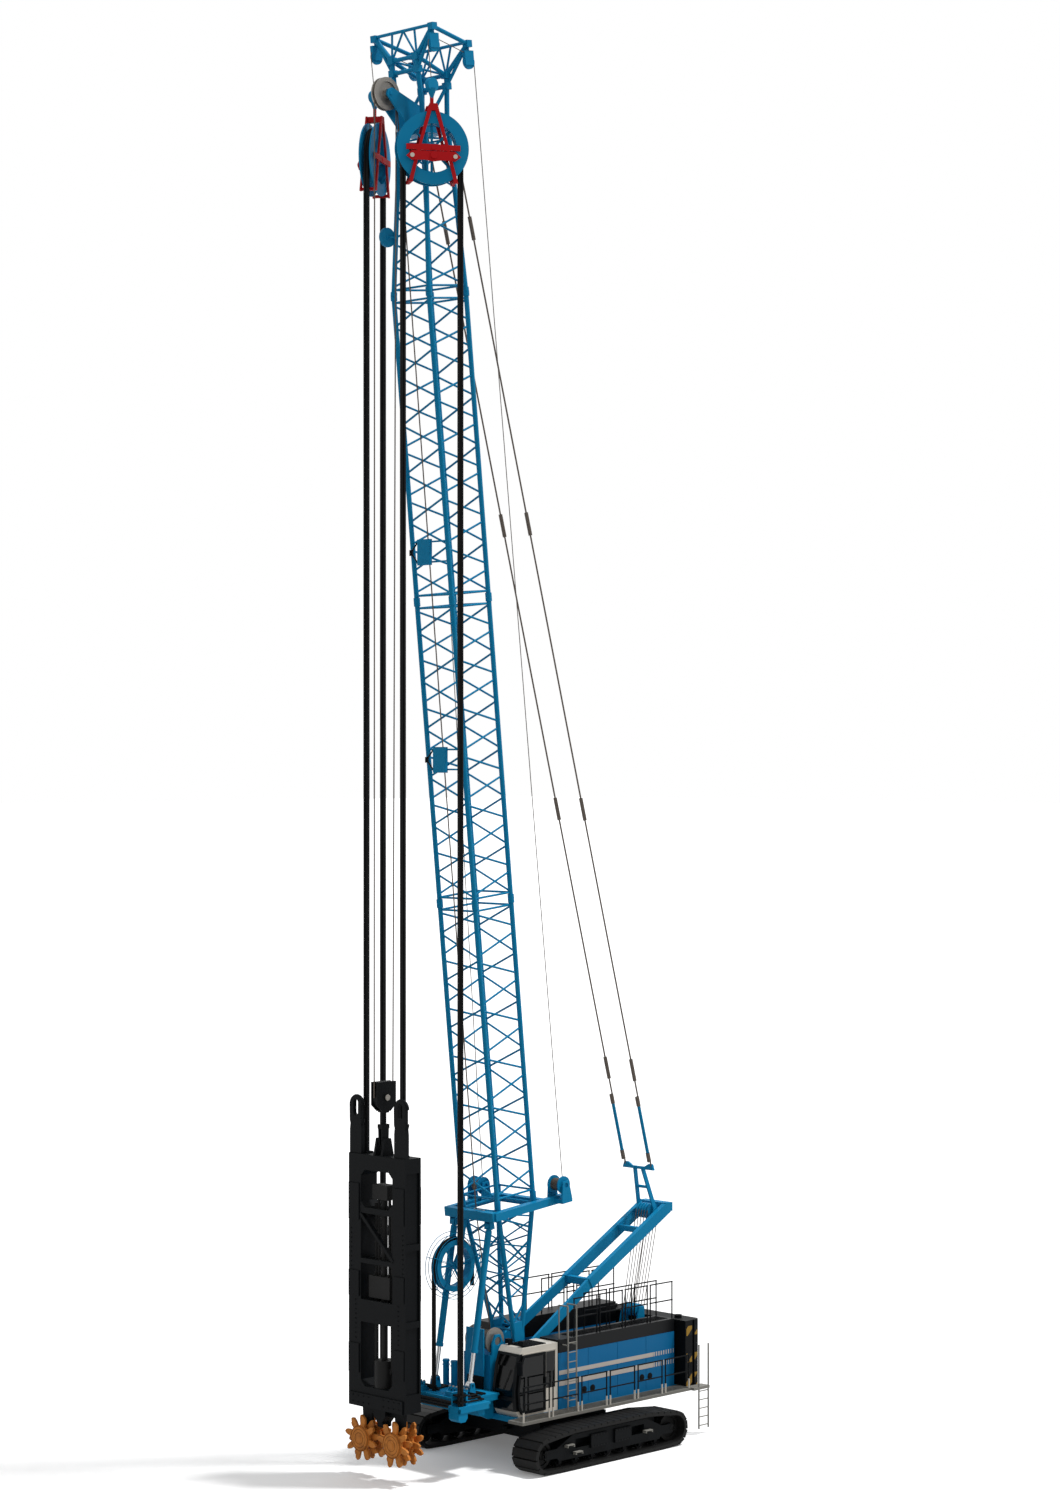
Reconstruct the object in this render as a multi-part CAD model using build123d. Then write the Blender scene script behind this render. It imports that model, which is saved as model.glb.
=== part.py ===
import os
from math import atan2, cos, degrees, hypot, pi, radians, sin

from build123d import *

# All sizes in millimetres. X points to the cutter, Y to the cab side, Z up.
# Shapes are written about the slewing axis, then moved so the box is centred.
front_reach = 6500
rear_reach = -4980
shift_x = -(front_reach + rear_reach) / 2

# Undercarriage
track_gauge = 4740
shoe_width = 940
track_length = 6190
track_height = 1140
shoe_thick = 55
link_thick = 65
shoe_pitch = 262
end_wheel_r = 380
end_wheel_x = track_length / 2 - end_wheel_r - shoe_thick - link_thick
end_wheel_lift = 24
end_wheel_z = end_wheel_r + shoe_thick + link_thick + end_wheel_lift
top_run_x = 1550
top_run_r = 130
top_run_z = track_height - shoe_thick - link_thick - top_run_r
roller_r = 115
roller_xs = (-1950, -1300, -650, 0, 650, 1300, 1950)
ring_top = 1250
tow_x = 1470
tow_z = 750
tow_r = 45

# Upper structure
deck_bottom = 1256
deck_top = 1400
deck_half = 1550
deck_rear = -4040
deck_front = 2600
walk_outer = 2120
house_rear = -3930
house_front = 900
house_top = 3350
house_inner = 800
wall = 40
cab_rear = 940
cab_inner = 690
cab_top = 3300
platform_front = 4900
platform_half = 1680
platform_top = 2050
platform_bottom = 1620
neck_rear = 2700
neck_half = 1000
cross_rear = 3700
middle_front = 4130
arm_inner = 1250

# Boom
foot_x = 1330
foot_z = 2900
lean_deg = 5.93
boom_half = 710
chord_d = 140
lace_d = 64
lace_inset = 50
seam = 0.2
foot_len = 4420
section_len = 8500
section_bays = 7
top_start = foot_len + 3 * section_len
top_len = 4400
foot_pin_r = 75
foot_eye_y = 400
gantry_eye_y = 600

# Head
head_sheave_x = 6090
head_sheave_z = 37970
head_sheave_r = 450
front_tip = (5430, 1160, 39860)
rear_tip = (4050, 1100, 39600)

# Hose wheels
wheel_z = 36400
leg_in = (6120, 740)
leg_out = (4750, 1570)
hose_d = 72
hose_gap = 76
wheel_r = 1000

# Cutter
cutter_x = 6120
cutter_half_y = 1135
cutter_half_x = 300
cutter_low = 1990
cutter_high = 8910
drum_y = 650
drum_z = 1100
drum_disc_r = 360
drum_tip_r = 620
drum_half_x = 340
ear_r = 200
ear_z = 10300

# Gantry
gantry_pin = (-4450, 6300)
gantry_half = 470
bridle = (-4070, 7640)
pendant_y = 520
pendant_top = (4040, 37215)
pendant_pin_r = 40

# Struts
strut_top = (2800, 6680)
strut_low = (3550, 2330)
strut_y = 700

# Guide wheel
guide_c = (3150, -400, 5500)
guide_r = 740


def block(x, y, z):
    box = Box(x[1] - x[0], y[1] - y[0], z[1] - z[0])
    return Pos((x[0] + x[1]) / 2, (y[0] + y[1]) / 2, (z[0] + z[1]) / 2) * box


def bar(p, q, d):
    a = Vector(*p)
    v = Vector(*q) - a
    frame = Plane(origin=a, z_dir=v)
    return frame * Cylinder(d / 2, v.length, align=(Align.CENTER, Align.CENTER, Align.MIN))


def lace(p, q, d):
    # A thin lacing bar with eight flats
    a = Vector(*p)
    v = Vector(*q) - a
    frame = Plane(origin=a, z_dir=v)
    return frame * extrude(RegularPolygon(d * 0.515, 8, rotation=11), v.length)


def beam(p, q, side, depth):
    # A square bar: side is its size along Y, depth across that.
    a = Vector(*p)
    v = Vector(*q) - a
    along = Vector(0, 1, 0)
    if abs(v.normalized().Y) > 0.9:
        along = Vector(1, 0, 0)
    frame = Plane(origin=a, x_dir=along - v.normalized() * along.dot(v.normalized()), z_dir=v)
    return frame * Box(side, depth, v.length, align=(Align.CENTER, Align.CENTER, Align.MIN))


def across(x, z, y0, y1, r):
    return Pos(x, (y0 + y1) / 2, z) * Rot(90, 0, 0) * Cylinder(r, y1 - y0)


def along(y, z, x0, x1, r):
    return Pos((x0 + x1) / 2, y, z) * Rot(0, 90, 0) * Cylinder(r, x1 - x0)


def upright(x, y, z0, z1, r):
    return Pos(x, y, (z0 + z1) / 2) * Cylinder(r, z1 - z0)


def plate_xz(points, y0, y1):
    face = make_face(Polyline(*[(x, z) for x, z in points], close=True))
    frame = Plane(origin=(0, y0, 0), x_dir=(1, 0, 0), z_dir=(0, -1, 0))
    return extrude(frame * face, -(y1 - y0))


def plate_yz(points, x0, x1):
    face = make_face(Polyline(*[(y, z) for y, z in points], close=True))
    frame = Plane(origin=(x0, 0, 0), x_dir=(0, 1, 0), z_dir=(1, 0, 0))
    return extrude(frame * face, x1 - x0)


def plate_xy(points, z0, z1):
    face = make_face(Polyline(*points, close=True))
    return extrude(Pos(0, 0, z0) * face, z1 - z0)


def fuse(shapes):
    shapes = list(shapes)
    return shapes[0] + shapes[1:] if len(shapes) > 1 else shapes[0]


def both(shape):
    return [shape, mirror(shape, about=Plane.XZ)]


def group(shapes):
    solids = []
    for shape in shapes:
        solids += shape.solids()
    return Compound(solids)


# Boom frame: u forward across the boom, v = Y, w along it from the foot pin
lean = radians(lean_deg)
boom_plane = Plane(
    origin=(foot_x, 0, foot_z), x_dir=(cos(lean), 0, -sin(lean)), z_dir=(sin(lean), 0, cos(lean))
)


def to_boom(x, y, z):
    dx = x - foot_x
    dz = z - foot_z
    return (dx * cos(lean) - dz * sin(lean), y, dx * sin(lean) + dz * cos(lean))


def track_hull(grow):
    circles = []
    for sign in (-1, 1):
        circles.append(Pos(sign * end_wheel_x, end_wheel_z) * Circle(end_wheel_r + grow))
        circles.append(Pos(sign * top_run_x, top_run_z) * Circle(top_run_r + grow))
        low_z = roller_r + shoe_thick + link_thick
        circles.append(Pos(sign * 2000, low_z) * Circle(roller_r + grow))
    edges = []
    for circle in circles:
        edges += circle.edges()
    return make_hull(edges)


def make_track(side):
    belt = track_hull(link_thick) - track_hull(2)
    path = track_hull(link_thick + shoe_thick / 2 - 2).face().outer_wire()
    count = round(path.length / shoe_pitch)
    pads = []
    for i in range(count):
        spot = path.position_at((i + 0.5) / count)
        way = path.tangent_at((i + 0.5) / count)
        turn = degrees(atan2(way.Y, way.X))
        pad = Rectangle(path.length / count - 26, shoe_thick + 4)
        pads.append(Pos(spot.X, spot.Y) * Rot(0, 0, turn) * pad)
    outline = belt + pads
    y0 = side * track_gauge / 2 + shoe_width / 2
    frame = Plane(origin=(0, y0, 0), x_dir=(1, 0, 0), z_dir=(0, -1, 0))
    return extrude(frame * outline, shoe_width)


def make_crawler_frame(side):
    yc = side * track_gauge / 2
    outer = yc + side * 330
    inner = yc - side * 330
    y0, y1 = min(outer, inner), max(outer, inner)
    profile = [
        (-2050, 300), (2050, 300), (2180, 460), (2180, 640), (1850, 800), (1500, 960),
        (-1500, 960), (-1850, 800), (-2180, 640), (-2180, 460),
    ]
    body = plate_xz(profile, y0, y1)
    windows = []
    for x in (-900, 900):
        window = Pos(x, 0, 690) * Box(1000, 500, 250)
        windows.append(Pos(0, outer, 0) * window)
    body = body - windows
    pieces = [body]
    for x in roller_xs:
        pieces.append(across(x, 122 + roller_r, yc - 200, yc + 200, roller_r))
        pieces.append(block((x - 60, x + 60), (y0 + 60, y1 - 60), (200, 310)))
    for x in (-end_wheel_x, end_wheel_x):
        ends = sorted((x, 2050 if x > 0 else -2050))
        for y in (yc - 290, yc + 290):
            pieces.append(
                block(ends, (y - 40, y + 40), (end_wheel_z - 130, end_wheel_z + 130))
            )
    face = side * (abs(outer) + 60)
    for x0, x1 in ((-820, -150), (150, 820)):
        cover = block((x0, x1), (min(outer, face), max(outer, face)), (480, 860))
        pieces.append(cover)
    return fuse(pieces)


def make_carbody():
    core = block((-1350, 1350), (-1250, 1250), (520, 1020))
    shape = [core]
    for x in (-950, 950):
        shape.append(block((x - 260, x + 260), (-2039, 2039), (480, 930)))
    shape.append(upright(0, 0, 1020, ring_top, 880))
    # Towing lugs, front and rear
    for sign in (-1, 1):
        shape.append(plate_xy([(sign * 1340, -110), (sign * 1340, 110), (sign * 1500, 90),
                               (sign * 1560, 0), (sign * 1500, -90)], tow_z - 40, tow_z + 40))
    body = fuse(shape)
    for sign in (-1, 1):
        body = body - upright(sign * tow_x, 0, tow_z - 60, tow_z + 60, tow_r)
    return body


def make_end_wheels():
    wheels = []
    for side in (-1, 1):
        yc = side * track_gauge / 2
        for x in (-end_wheel_x, end_wheel_x):
            wheel = across(x, end_wheel_z, yc - 180, yc + 180, end_wheel_r)
            wheel = wheel - across(x, end_wheel_z, yc + 140, yc + 200, end_wheel_r - 90)
            wheel = wheel - across(x, end_wheel_z, yc - 200, yc - 140, end_wheel_r - 90)
            hub = across(x, end_wheel_z, yc - 240, yc + 240, 130)
            wheels.append(wheel + hub)
    return group(wheels)


def make_upper_frame():
    pieces = [
        block((deck_rear, deck_front), (-deck_half, deck_half), (deck_bottom, deck_top)),
        upright(0, 0, deck_bottom, deck_top, 900),
    ]
    # Boom-foot brackets, two plates on each side with the pin between them
    shape = [(-300, deck_top - 20), (1900, deck_top - 20), (1900, 1900), (1560, 2950),
             (1480, 3060), (1330, 3120), (1180, 3060), (1100, 2950), (300, 2100), (-300, 1900)]
    for side in (-1, 1):
        for y in (foot_eye_y - 110, foot_eye_y + 110):
            lo = side * y - 30
            pieces.append(plate_xz(shape, lo, lo + 60))
        ends = sorted((side * (foot_eye_y - 150), side * 660))
        pieces.append(across(foot_x, foot_z, ends[0], ends[1], foot_pin_r))
        caps = sorted((side * 655, side * 680))
        pieces.append(across(foot_x, foot_z, caps[0], caps[1], 100))
    # Winch stand in front of the boom foot
    for y in (-520, 520):
        pieces.append(
            plate_xz([(2020, deck_top - 20), (2590, deck_top - 20), (2530, 3300), (2410, 3560),
                      (2210, 3560), (2090, 3300)], y - 30, y + 30)
            - across(2310, 3380, y - 40, y + 40, 120.4)
        )
    pieces.append(block((2545, 2595), (-540, 540), (deck_top - 20, 3000)))
    # Rear sheave block for the luffing rope
    for y in (-330, 330):
        pieces.append(
            plate_xz([(-3900, deck_top - 20), (-3200, deck_top - 20), (-3720, 3560),
                      (-3940, 3560), (-3960, 2400)], y - 25, y + 25)
        )
    pieces.append(across(-3830, 3440, -360, 360, 60))
    for y in (-220, -110, 0, 110, 220):
        pieces.append(across(-3830, 3440, y - 40, y + 40, 190))
    pieces.append(block((-3300, -500), (-360, 360), (deck_top - 20, 2150)))
    return fuse(pieces)


def make_counterweight():
    body = block((-4700, deck_rear - 0.3), (-1900, 1900), (1260, 3300))
    body = chamfer(body.edges().filter_by(Axis.Z).group_by(Axis.X)[0], 120)
    cuts = [block((-4705, -4670), (-900, 900), (1500, 3050))]
    for side in (-1, 1):
        cuts.append(block((-4420, -4340), (side * 1900 - 40, side * 1900 + 40), (1250, 3310)))
    body = body - cuts
    for y in (-1300, 1300):
        body = body + upright(-4380, y, 3280, 3380, 110)
    return body


def make_house(side):
    y0, y1 = sorted((side * house_inner, side * deck_half))
    front = house_front if side > 0 else 1150
    top = house_top if side > 0 else 3560
    shell = block((house_rear, front), (y0, y1), (deck_top, top))
    shell = shell - block(
        (house_rear + wall, front - wall), (y0 + wall, y1 - wall), (deck_top + wall, top - wall)
    )
    face = side * deck_half
    cuts = []
    panel = (front - house_rear) / 4
    for i in (1, 2, 3):
        x = house_rear + i * panel
        cuts.append(block((x - 7, x + 7), (face - 12, face + 12), (deck_top + 60, 2975)))
    cuts.append(block((house_rear - 5, front + 5), (face - 10, face + 10), (2975, 2990)))
    for i in range(7):
        z = 1700 + i * 150
        cuts.append(
            block((house_rear - 10, house_rear + wall + 10), (y0 + 120, y1 - 120), (z, z + 60))
        )
    return shell - cuts


def make_cab():
    side_shape = [(cab_rear, deck_top), (2480, deck_top), (2620, 1620), (2660, 2150),
                  (2560, 2800), (2430, 3170), (2330, cab_top), (cab_rear, cab_top)]
    shell = plate_xz(side_shape, cab_inner, deck_half)
    inner = [(cab_rear + 50, deck_top + 60), (2430, deck_top + 60), (2560, 1640), (2600, 2150),
             (2500, 2785), (2390, 3120), (2310, cab_top - 50), (cab_rear + 50, cab_top - 50)]
    shell = shell - plate_xz(inner, cab_inner + 45, deck_half - 45)
    mid = (cab_inner + deck_half) / 2
    cuts = [
        # Front window, over and under a bar
        block((2300, 2800), (cab_inner + 90, deck_half - 90), (1960, 3080)),
        block((2350, 2800), (cab_inner + 90, deck_half - 90), (1560, 1860)),
        # Roof, rear and far side windows
        block((1300, 2150), (cab_inner + 130, deck_half - 130), (cab_top - 120, cab_top + 30)),
        block((cab_rear - 20, cab_rear + 80), (mid - 320, mid + 320), (2200, 3100)),
        plate_xz([(1100, 2050), (2480, 2050), (2440, 2750), (2320, 3090), (1100, 3090)],
                 cab_inner - 20, cab_inner + 60),
        # Rear side window and doorway
        plate_xz([(1030, 2060), (1400, 2060), (1400, 3090), (1030, 3090)],
                 deck_half - 60, deck_half + 20),
        plate_xz([(1480, 1500), (2410, 1500), (2520, 1660), (2555, 2150), (2465, 2760),
                  (2345, 3090), (1480, 3090)], deck_half - 60, deck_half + 20),
    ]
    shell = shell - cuts
    rail = block((1000, 2300), (deck_half, deck_half + 12), (3118, 3140))
    return shell + rail


def make_cab_glass():
    mid = (cab_inner + deck_half) / 2
    front_high = plate_xz([(2618, 1964), (2632, 1964), (2640, 2150), (2548, 2790), (2455, 3076),
                           (2440, 3076), (2532, 2788), (2626, 2150)],
                          cab_inner + 90.3, deck_half - 90.3)
    front_low = plate_xz([(2560, 1564), (2574, 1564), (2612, 1630), (2624, 1856), (2610, 1856),
                          (2598, 1634)], cab_inner + 90.3, deck_half - 90.3)
    roof = block((1304, 2146), (cab_inner + 134, deck_half - 134), (cab_top - 40, cab_top - 26))
    rear = block((cab_rear + 15, cab_rear + 29), (mid - 316, mid + 316), (2204, 3096))
    far = plate_xz([(1104, 2054), (2474, 2054), (2435, 2748), (2317, 3086), (1104, 3086)],
                   cab_inner + 15, cab_inner + 29)
    side = block((1034, 1396), (deck_half - 32, deck_half - 18), (2064, 3086))
    return group([front_high, front_low, roof, rear, far, side])


def make_cab_seat():
    mid = (cab_inner + deck_half) / 2
    base = block((1450, 1850), (mid - 180, mid + 180), (1460, 1820))
    pad = block((1380, 1900), (mid - 250, mid + 250), (1820, 1940))
    back = plate_xz([(1300, 1900), (1430, 1900), (1360, 2620), (1230, 2620)], mid - 240, mid + 240)
    arms = [block((1450, 1900), (y - 60, y + 60), (1900, 2060)) for y in (mid - 300, mid + 300)]
    panel = plate_xz([(2250, 1460), (2400, 1460), (2480, 2000), (2330, 2080)], mid - 200, mid + 200)
    return group([fuse([base, pad, back] + arms), panel])


def make_door():
    outer = [(1470, 1480), (2425, 1480), (2540, 1650), (2578, 2150), (2488, 2770), (2362, 3110),
             (1470, 3110)]
    hole = [(1540, 1560), (2375, 1560), (2470, 1680), (2505, 2150), (2420, 2735), (2312, 3040),
            (1540, 3040)]
    y0 = deck_half + 20
    frame = plate_xz(outer, y0, y0 + 45) - plate_xz(hole, y0 - 10, y0 + 60)
    frame = frame + block((1470, 2480), (y0, y0 + 45), (2060, 2100))
    handle = block((1490, 1525), (y0 + 40, y0 + 75), (2180, 2420))
    return frame + handle


def make_door_glass():
    y0 = deck_half + 34
    low = plate_xz([(1541, 1561), (2374, 1561), (2469, 1681), (2498, 2059), (1541, 2059)],
                   y0, y0 + 14)
    high = plate_xz([(1541, 2101), (2500, 2101), (2504, 2150), (2419, 2734), (2311, 3039),
                     (1541, 3039)], y0, y0 + 14)
    return group([low, high])


def make_walkways():
    left = block((-4040, 2900), (deck_half, walk_outer), (1310, deck_top - 10))
    right = block((-4040, 1200), (-walk_outer, -deck_half), (1310, deck_top - 10))
    return group([left, right])


def rail_loop(x0, x1, y, z0, z1, d):
    posts = [upright(x, y, z0, z1 - d / 2, d / 2) for x in (x0, x1)]
    rails = []
    for z in (z1 - d / 2, (z0 + z1) / 2):
        rails.append(along(y, z, x0 - d / 2, x1 + d / 2, d / 2))
    return fuse(posts + rails)


def make_handrails():
    loops = []
    span = 1010
    for i in range(6):
        x = -3980 + i * (span + 150)
        loops.append(rail_loop(x, x + span, walk_outer - 30, deck_top - 10, 2370, 40))
    for i in range(4):
        x = -3980 + i * (span + 150)
        loops.append(rail_loop(x, x + span, 30 - walk_outer, deck_top - 10, 2370, 40))
    return group(loops)


def make_roof_rails():
    loops = []
    for i in range(4):
        x = -3900 + i * 1060
        loops.append(rail_loop(x, x + 930, deck_half - 60, house_top, 4450, 40))
        loops.append(rail_loop(x, x + 930, 60 - deck_half, 3560, 4560, 40))
    for side, top in ((1, house_top), (-1, 3560)):
        y = side * (house_inner + 60)
        for i in range(3):
            x = -3900 + i * 1060
            loops.append(rail_loop(x, x + 930, y, top, top + 1050, 40))
    return group(loops)


def make_ladders():
    side = []
    for x in (390, 730):
        side.append(upright(x, 1760, deck_top - 10, 4300, 22))
        for z in (1700, 3200):
            side.append(bar((x, deck_half, z), (x, 1760, z), 36))
        side.append(bar((x, 1760, 4300), (x, 1400, 4300), 40))
        side.append(upright(x, 1400, house_top, 4318, 20))
    for i in range(7):
        z = 1650 + i * 270
        side.append(along(1760, z, 390, 730, 15))
    rear = []
    for x in (-4680, -4270):
        rear.append(upright(x, 2220, 160, 2620, 24))
    for i in range(10):
        z = 260 + i * 250
        if z > 1350:
            break
        rear.append(along(2220, z, -4680, -4270, 16))
    rear.append(block((-4720, -4041), (walk_outer, 2240), (1310, deck_top - 10)))
    rear.append(block((-4720, -4041), (1905, 2130), (1310, deck_top - 10)))
    return group([fuse(side), fuse(rear)])


def make_platform():
    plate = (platform_top - 60, platform_top)
    neck = (-neck_half, neck_half)
    wide = (-platform_half, platform_half)
    pieces = [
        block((neck_rear, middle_front), neck, plate),
        block((cross_rear, middle_front), wide, plate),
    ]
    # Two arms carry the hose clamps and leave the cutter room between them
    for y in (-platform_half, arm_inner):
        arm = (y, y + platform_half - arm_inner)
        pieces.append(block((cross_rear, platform_front), arm, plate))
        pieces.append(block((platform_front - 80, platform_front), arm, (platform_bottom + 40, platform_top)))
    for y in (-platform_half, platform_half - 80):
        pieces.append(block((cross_rear, platform_front), (y, y + 80), (platform_bottom, platform_top)))
    for y in (-neck_half, neck_half - 80):
        pieces.append(block((neck_rear, cross_rear + 40), (y, y + 80), (platform_bottom, platform_top)))
    for x, span in ((neck_rear, neck), (cross_rear, wide), (middle_front - 80, wide)):
        pieces.append(block((x, x + 80), span, (platform_bottom + 40, platform_top)))
    for y in (-620, 620):
        pieces.append(plate_xz([(deck_front, deck_bottom + 20), (2800, deck_bottom + 20),
                                (3700, platform_bottom + 60), (3700, platform_top - 20),
                                (deck_front, platform_top - 20)], y - 40, y + 40))
    # Strut brackets
    for side in (-1, 1):
        for off in (-95, 95):
            y = side * strut_y + off
            pieces.append(plate_xz([(3420, platform_top - 20), (3680, platform_top - 20),
                                    (3620, 2400), (3480, 2400)], y - 20, y + 20))
        pieces.append(across(strut_low[0], strut_low[1], side * strut_y - 115,
                             side * strut_y + 115, 42))
    # Hose clamps and accumulators
    x, y = leg_out
    pieces += both(block((x - 170, x + 110), (y - 250, y - 200), (1990, 2420)))
    pieces += both(block((x - 230, x - 170), (y - 250, y + 50), (1990, 2420)))
    for y in (-880, -680):
        pieces.append(upright(2900, y, platform_top - 10, 2760, 70))
    # Front guard panel
    pieces.append(block((2700, 2740), (-300, 400), (platform_top - 20, 3740)))
    return fuse(pieces)


def winch_drum(x, z, y0, y1, core, flange, hub, end):
    drum = [across(x, z, y0, y1, core)]
    for y in (y0, y1 - 40):
        drum.append(across(x, z, y, y + 40, flange))
    drum.append(across(x, z, y0 - end, y1 + end, hub))
    return fuse(drum)


def lattice(low, high, bays, skip=()):
    # low and high hold the four corners at each end: front left, front right, rear right, rear left
    pieces = [bar(low[i], high[i], chord_d) for i in range(4)]

    def at(i, t):
        return tuple(low[i][k] + (high[i][k] - low[i][k]) * t for k in range(3))

    def link(p, q, d):
        # Ends inside the chords, short of their centre lines
        a, b = Vector(*p), Vector(*q)
        way = (b - a).normalized()
        return lace(a + way * lace_inset, b - way * lace_inset, d)

    length = high[0][2] - low[0][2]
    edge = 175 / length
    for i in range(4):
        j = (i + 1) % 4
        for t in (edge, 1 - edge):
            if (i, t < 0.5) in skip:
                continue
            pieces.append(link(at(i, t), at(j, t), lace_d + 12))
        step = (1 - 2 * edge) / bays
        for k in range(bays):
            t0 = edge + k * step
            t1 = t0 + step
            a, b = (i, j) if (k + i // 2) % 2 == 0 else (j, i)
            room = (0.1 if i % 2 == 0 else 0.21) * step
            pieces.append(link(at(a, t0 + room), at(b, t1 - room), lace_d))
    return pieces


def corners(front, rear, half, w):
    return [(front, half, w), (front, -half, w), (rear, -half, w), (rear, half, w)]


def collars(ends, w0, w1):
    # Joint sleeves where one boom section meets the next
    return [Pos(u, v, (w0 + w1) / 2) * Cylinder(chord_d / 2 + 22, w1 - w0) for u, v, _ in ends]


def make_section(start):
    end = start + section_len
    low = corners(boom_half, -boom_half, boom_half, start + 10)
    high = corners(boom_half, -boom_half, boom_half, end - 10)
    pieces = lattice(low, high, section_bays)
    pieces += collars(low, start + seam, start + 120)
    pieces += collars(high, end - 120, end - seam)
    return boom_plane * fuse(pieces)


def make_boom_foot():
    low = corners(150, -150, foot_eye_y, 520)
    high = corners(boom_half, -boom_half, boom_half, foot_len - 20)
    pieces = lattice(low, high, 4, skip=((1, True), (3, True)))
    pieces += collars(high, foot_len - 130, foot_len - seam)
    for side in (-1, 1):
        y = side * foot_eye_y
        cheek = plate_xz([(-210, 900), (210, 900), (200, 450), (130, 0), (-130, 0), (-200, 450)],
                         y - 72, y + 72)
        pieces.append(cheek)
        pieces.append(across(0, 0, y - 72, y + 72, 140))
    shape = fuse(pieces)
    for side in (-1, 1):
        y = side * foot_eye_y
        shape = shape - across(0, 0, y - 100, y + 100, foot_pin_r + 0.4)
    return boom_plane * shape


def make_boom_top():
    low = corners(boom_half, -boom_half, boom_half, top_start + 20)
    high = corners(210, -boom_half + 30, 520, top_start + top_len)
    pieces = lattice(low, high, 4)
    pieces += collars(low, top_start + seam, top_start + 130)
    return boom_plane * fuse(pieces)


def tie_bar(p, q, d):
    # A bar that stops inside the joint blocks at its ends
    a, b = Vector(*p), Vector(*q)
    way = (b - a).normalized()
    return bar(a + way * 60, b - way * 60, d)


def make_head():
    w0 = top_start + top_len
    su, _, sw = to_boom(head_sheave_x, 0, head_sheave_z)
    fu, fv, fw = to_boom(*front_tip)
    ru, rv, rw = to_boom(*rear_tip)
    cu, _, cw = to_boom(5380, 500, 39050)
    du, _, dw = to_boom(4280, 500, 38680)
    pieces = [block((-730, 290), (-600, 600), (w0 - 40, w0 + 120))]
    # Cheek plates that carry the head sheave
    for side in (-1, 1):
        lo = side * 210 - 30
        pieces.append(
            plate_xz([(-700, w0 + 60), (-700, w0 + 380), (su - 60, sw + 150), (su + 100, sw + 110),
                      (su + 150, sw - 40), (su + 80, sw - 130), (420, w0 + 10), (60, w0 + 10)],
                     lo, lo + 60)
        )
        # Pendant lugs
        pu, _, pw = to_boom(pendant_top[0], 0, pendant_top[1])
        for off in (-58, 58):
            y = side * pendant_y + off
            pieces.append(plate_xz([(-600, w0 + 110), (-600, w0 - 20), (pu - 60, pw - 110),
                                    (pu - 110, pw), (pu - 60, pw + 110)], y - 20, y + 20))
        pieces.append(across(pu, pw, side * pendant_y - 90, side * pendant_y + 90, pendant_pin_r))
        # Posts, arms and ties of the head frame, with a joint block at each meeting
        y = side * 500
        tip = (fu, side * fv, fw - 105)
        back = (ru, side * rv, rw - 105)
        high = (cu, y, cw)
        low = (cu, y, cw - 350)
        rear_high = (du, y, dw)
        rear_low = (du, y, dw - 300)
        for spot in (tip, back, high, low, rear_high, rear_low):
            pieces.append(Pos(*spot) * Box(190, 190, 190))
        for p, q, d in (
            (low, (210, y, w0 + 60), 140), (rear_low, (-650, y, w0 + 60), 140),
            (high, low, 130), (rear_high, rear_low, 130), (high, rear_high, 120),
            (rear_low, (210, y, w0 + 90), 100), (high, tip, 140), (low, tip, 96),
            (rear_high, back, 130), (rear_low, back, 96), (tip, back, 120),
        ):
            pieces.append(tie_bar(p, q, d))
        for u, v, w in ((fu, side * fv, fw), (ru, side * rv, rw)):
            # Hanging pulley blocks
            pieces.append(Pos(u, v, w - 20) * Box(100, 100, 40))
            pieces.append(Pos(u, v, w - 240) * Box(56, 56, 160))
            pieces.append(Pos(u, v, w - 490) * Box(330, 110, 400))
            pieces.append(Pos(u, v, w - 600) * Rot(90, 0, 0) * Cylinder(200, 70))
    for u, w in ((cu, cw), (cu, cw - 350), (du, dw), (du, dw - 300)):
        pieces.append(tie_bar((u, -500, w), (u, 500, w), 120))
    pieces.append(across(su, sw, -260, 260, 60))
    return boom_plane * fuse(pieces)


def make_head_sheave():
    x, z = head_sheave_x, head_sheave_z
    sheave = across(x, z, -90, 90, head_sheave_r)
    ring = across(x, z, -45, 45, head_sheave_r + 5) - across(x, z, -50, 50, head_sheave_r - 70)
    sheave = sheave - ring
    sheave = sheave - across(x, z, -100, -40, head_sheave_r - 120)
    sheave = sheave - across(x, z, 40, 100, head_sheave_r - 120)
    hub = across(x, z, -120, 120, 130)
    return sheave + hub - across(x, z, -200, 200, 60.4)


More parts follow.
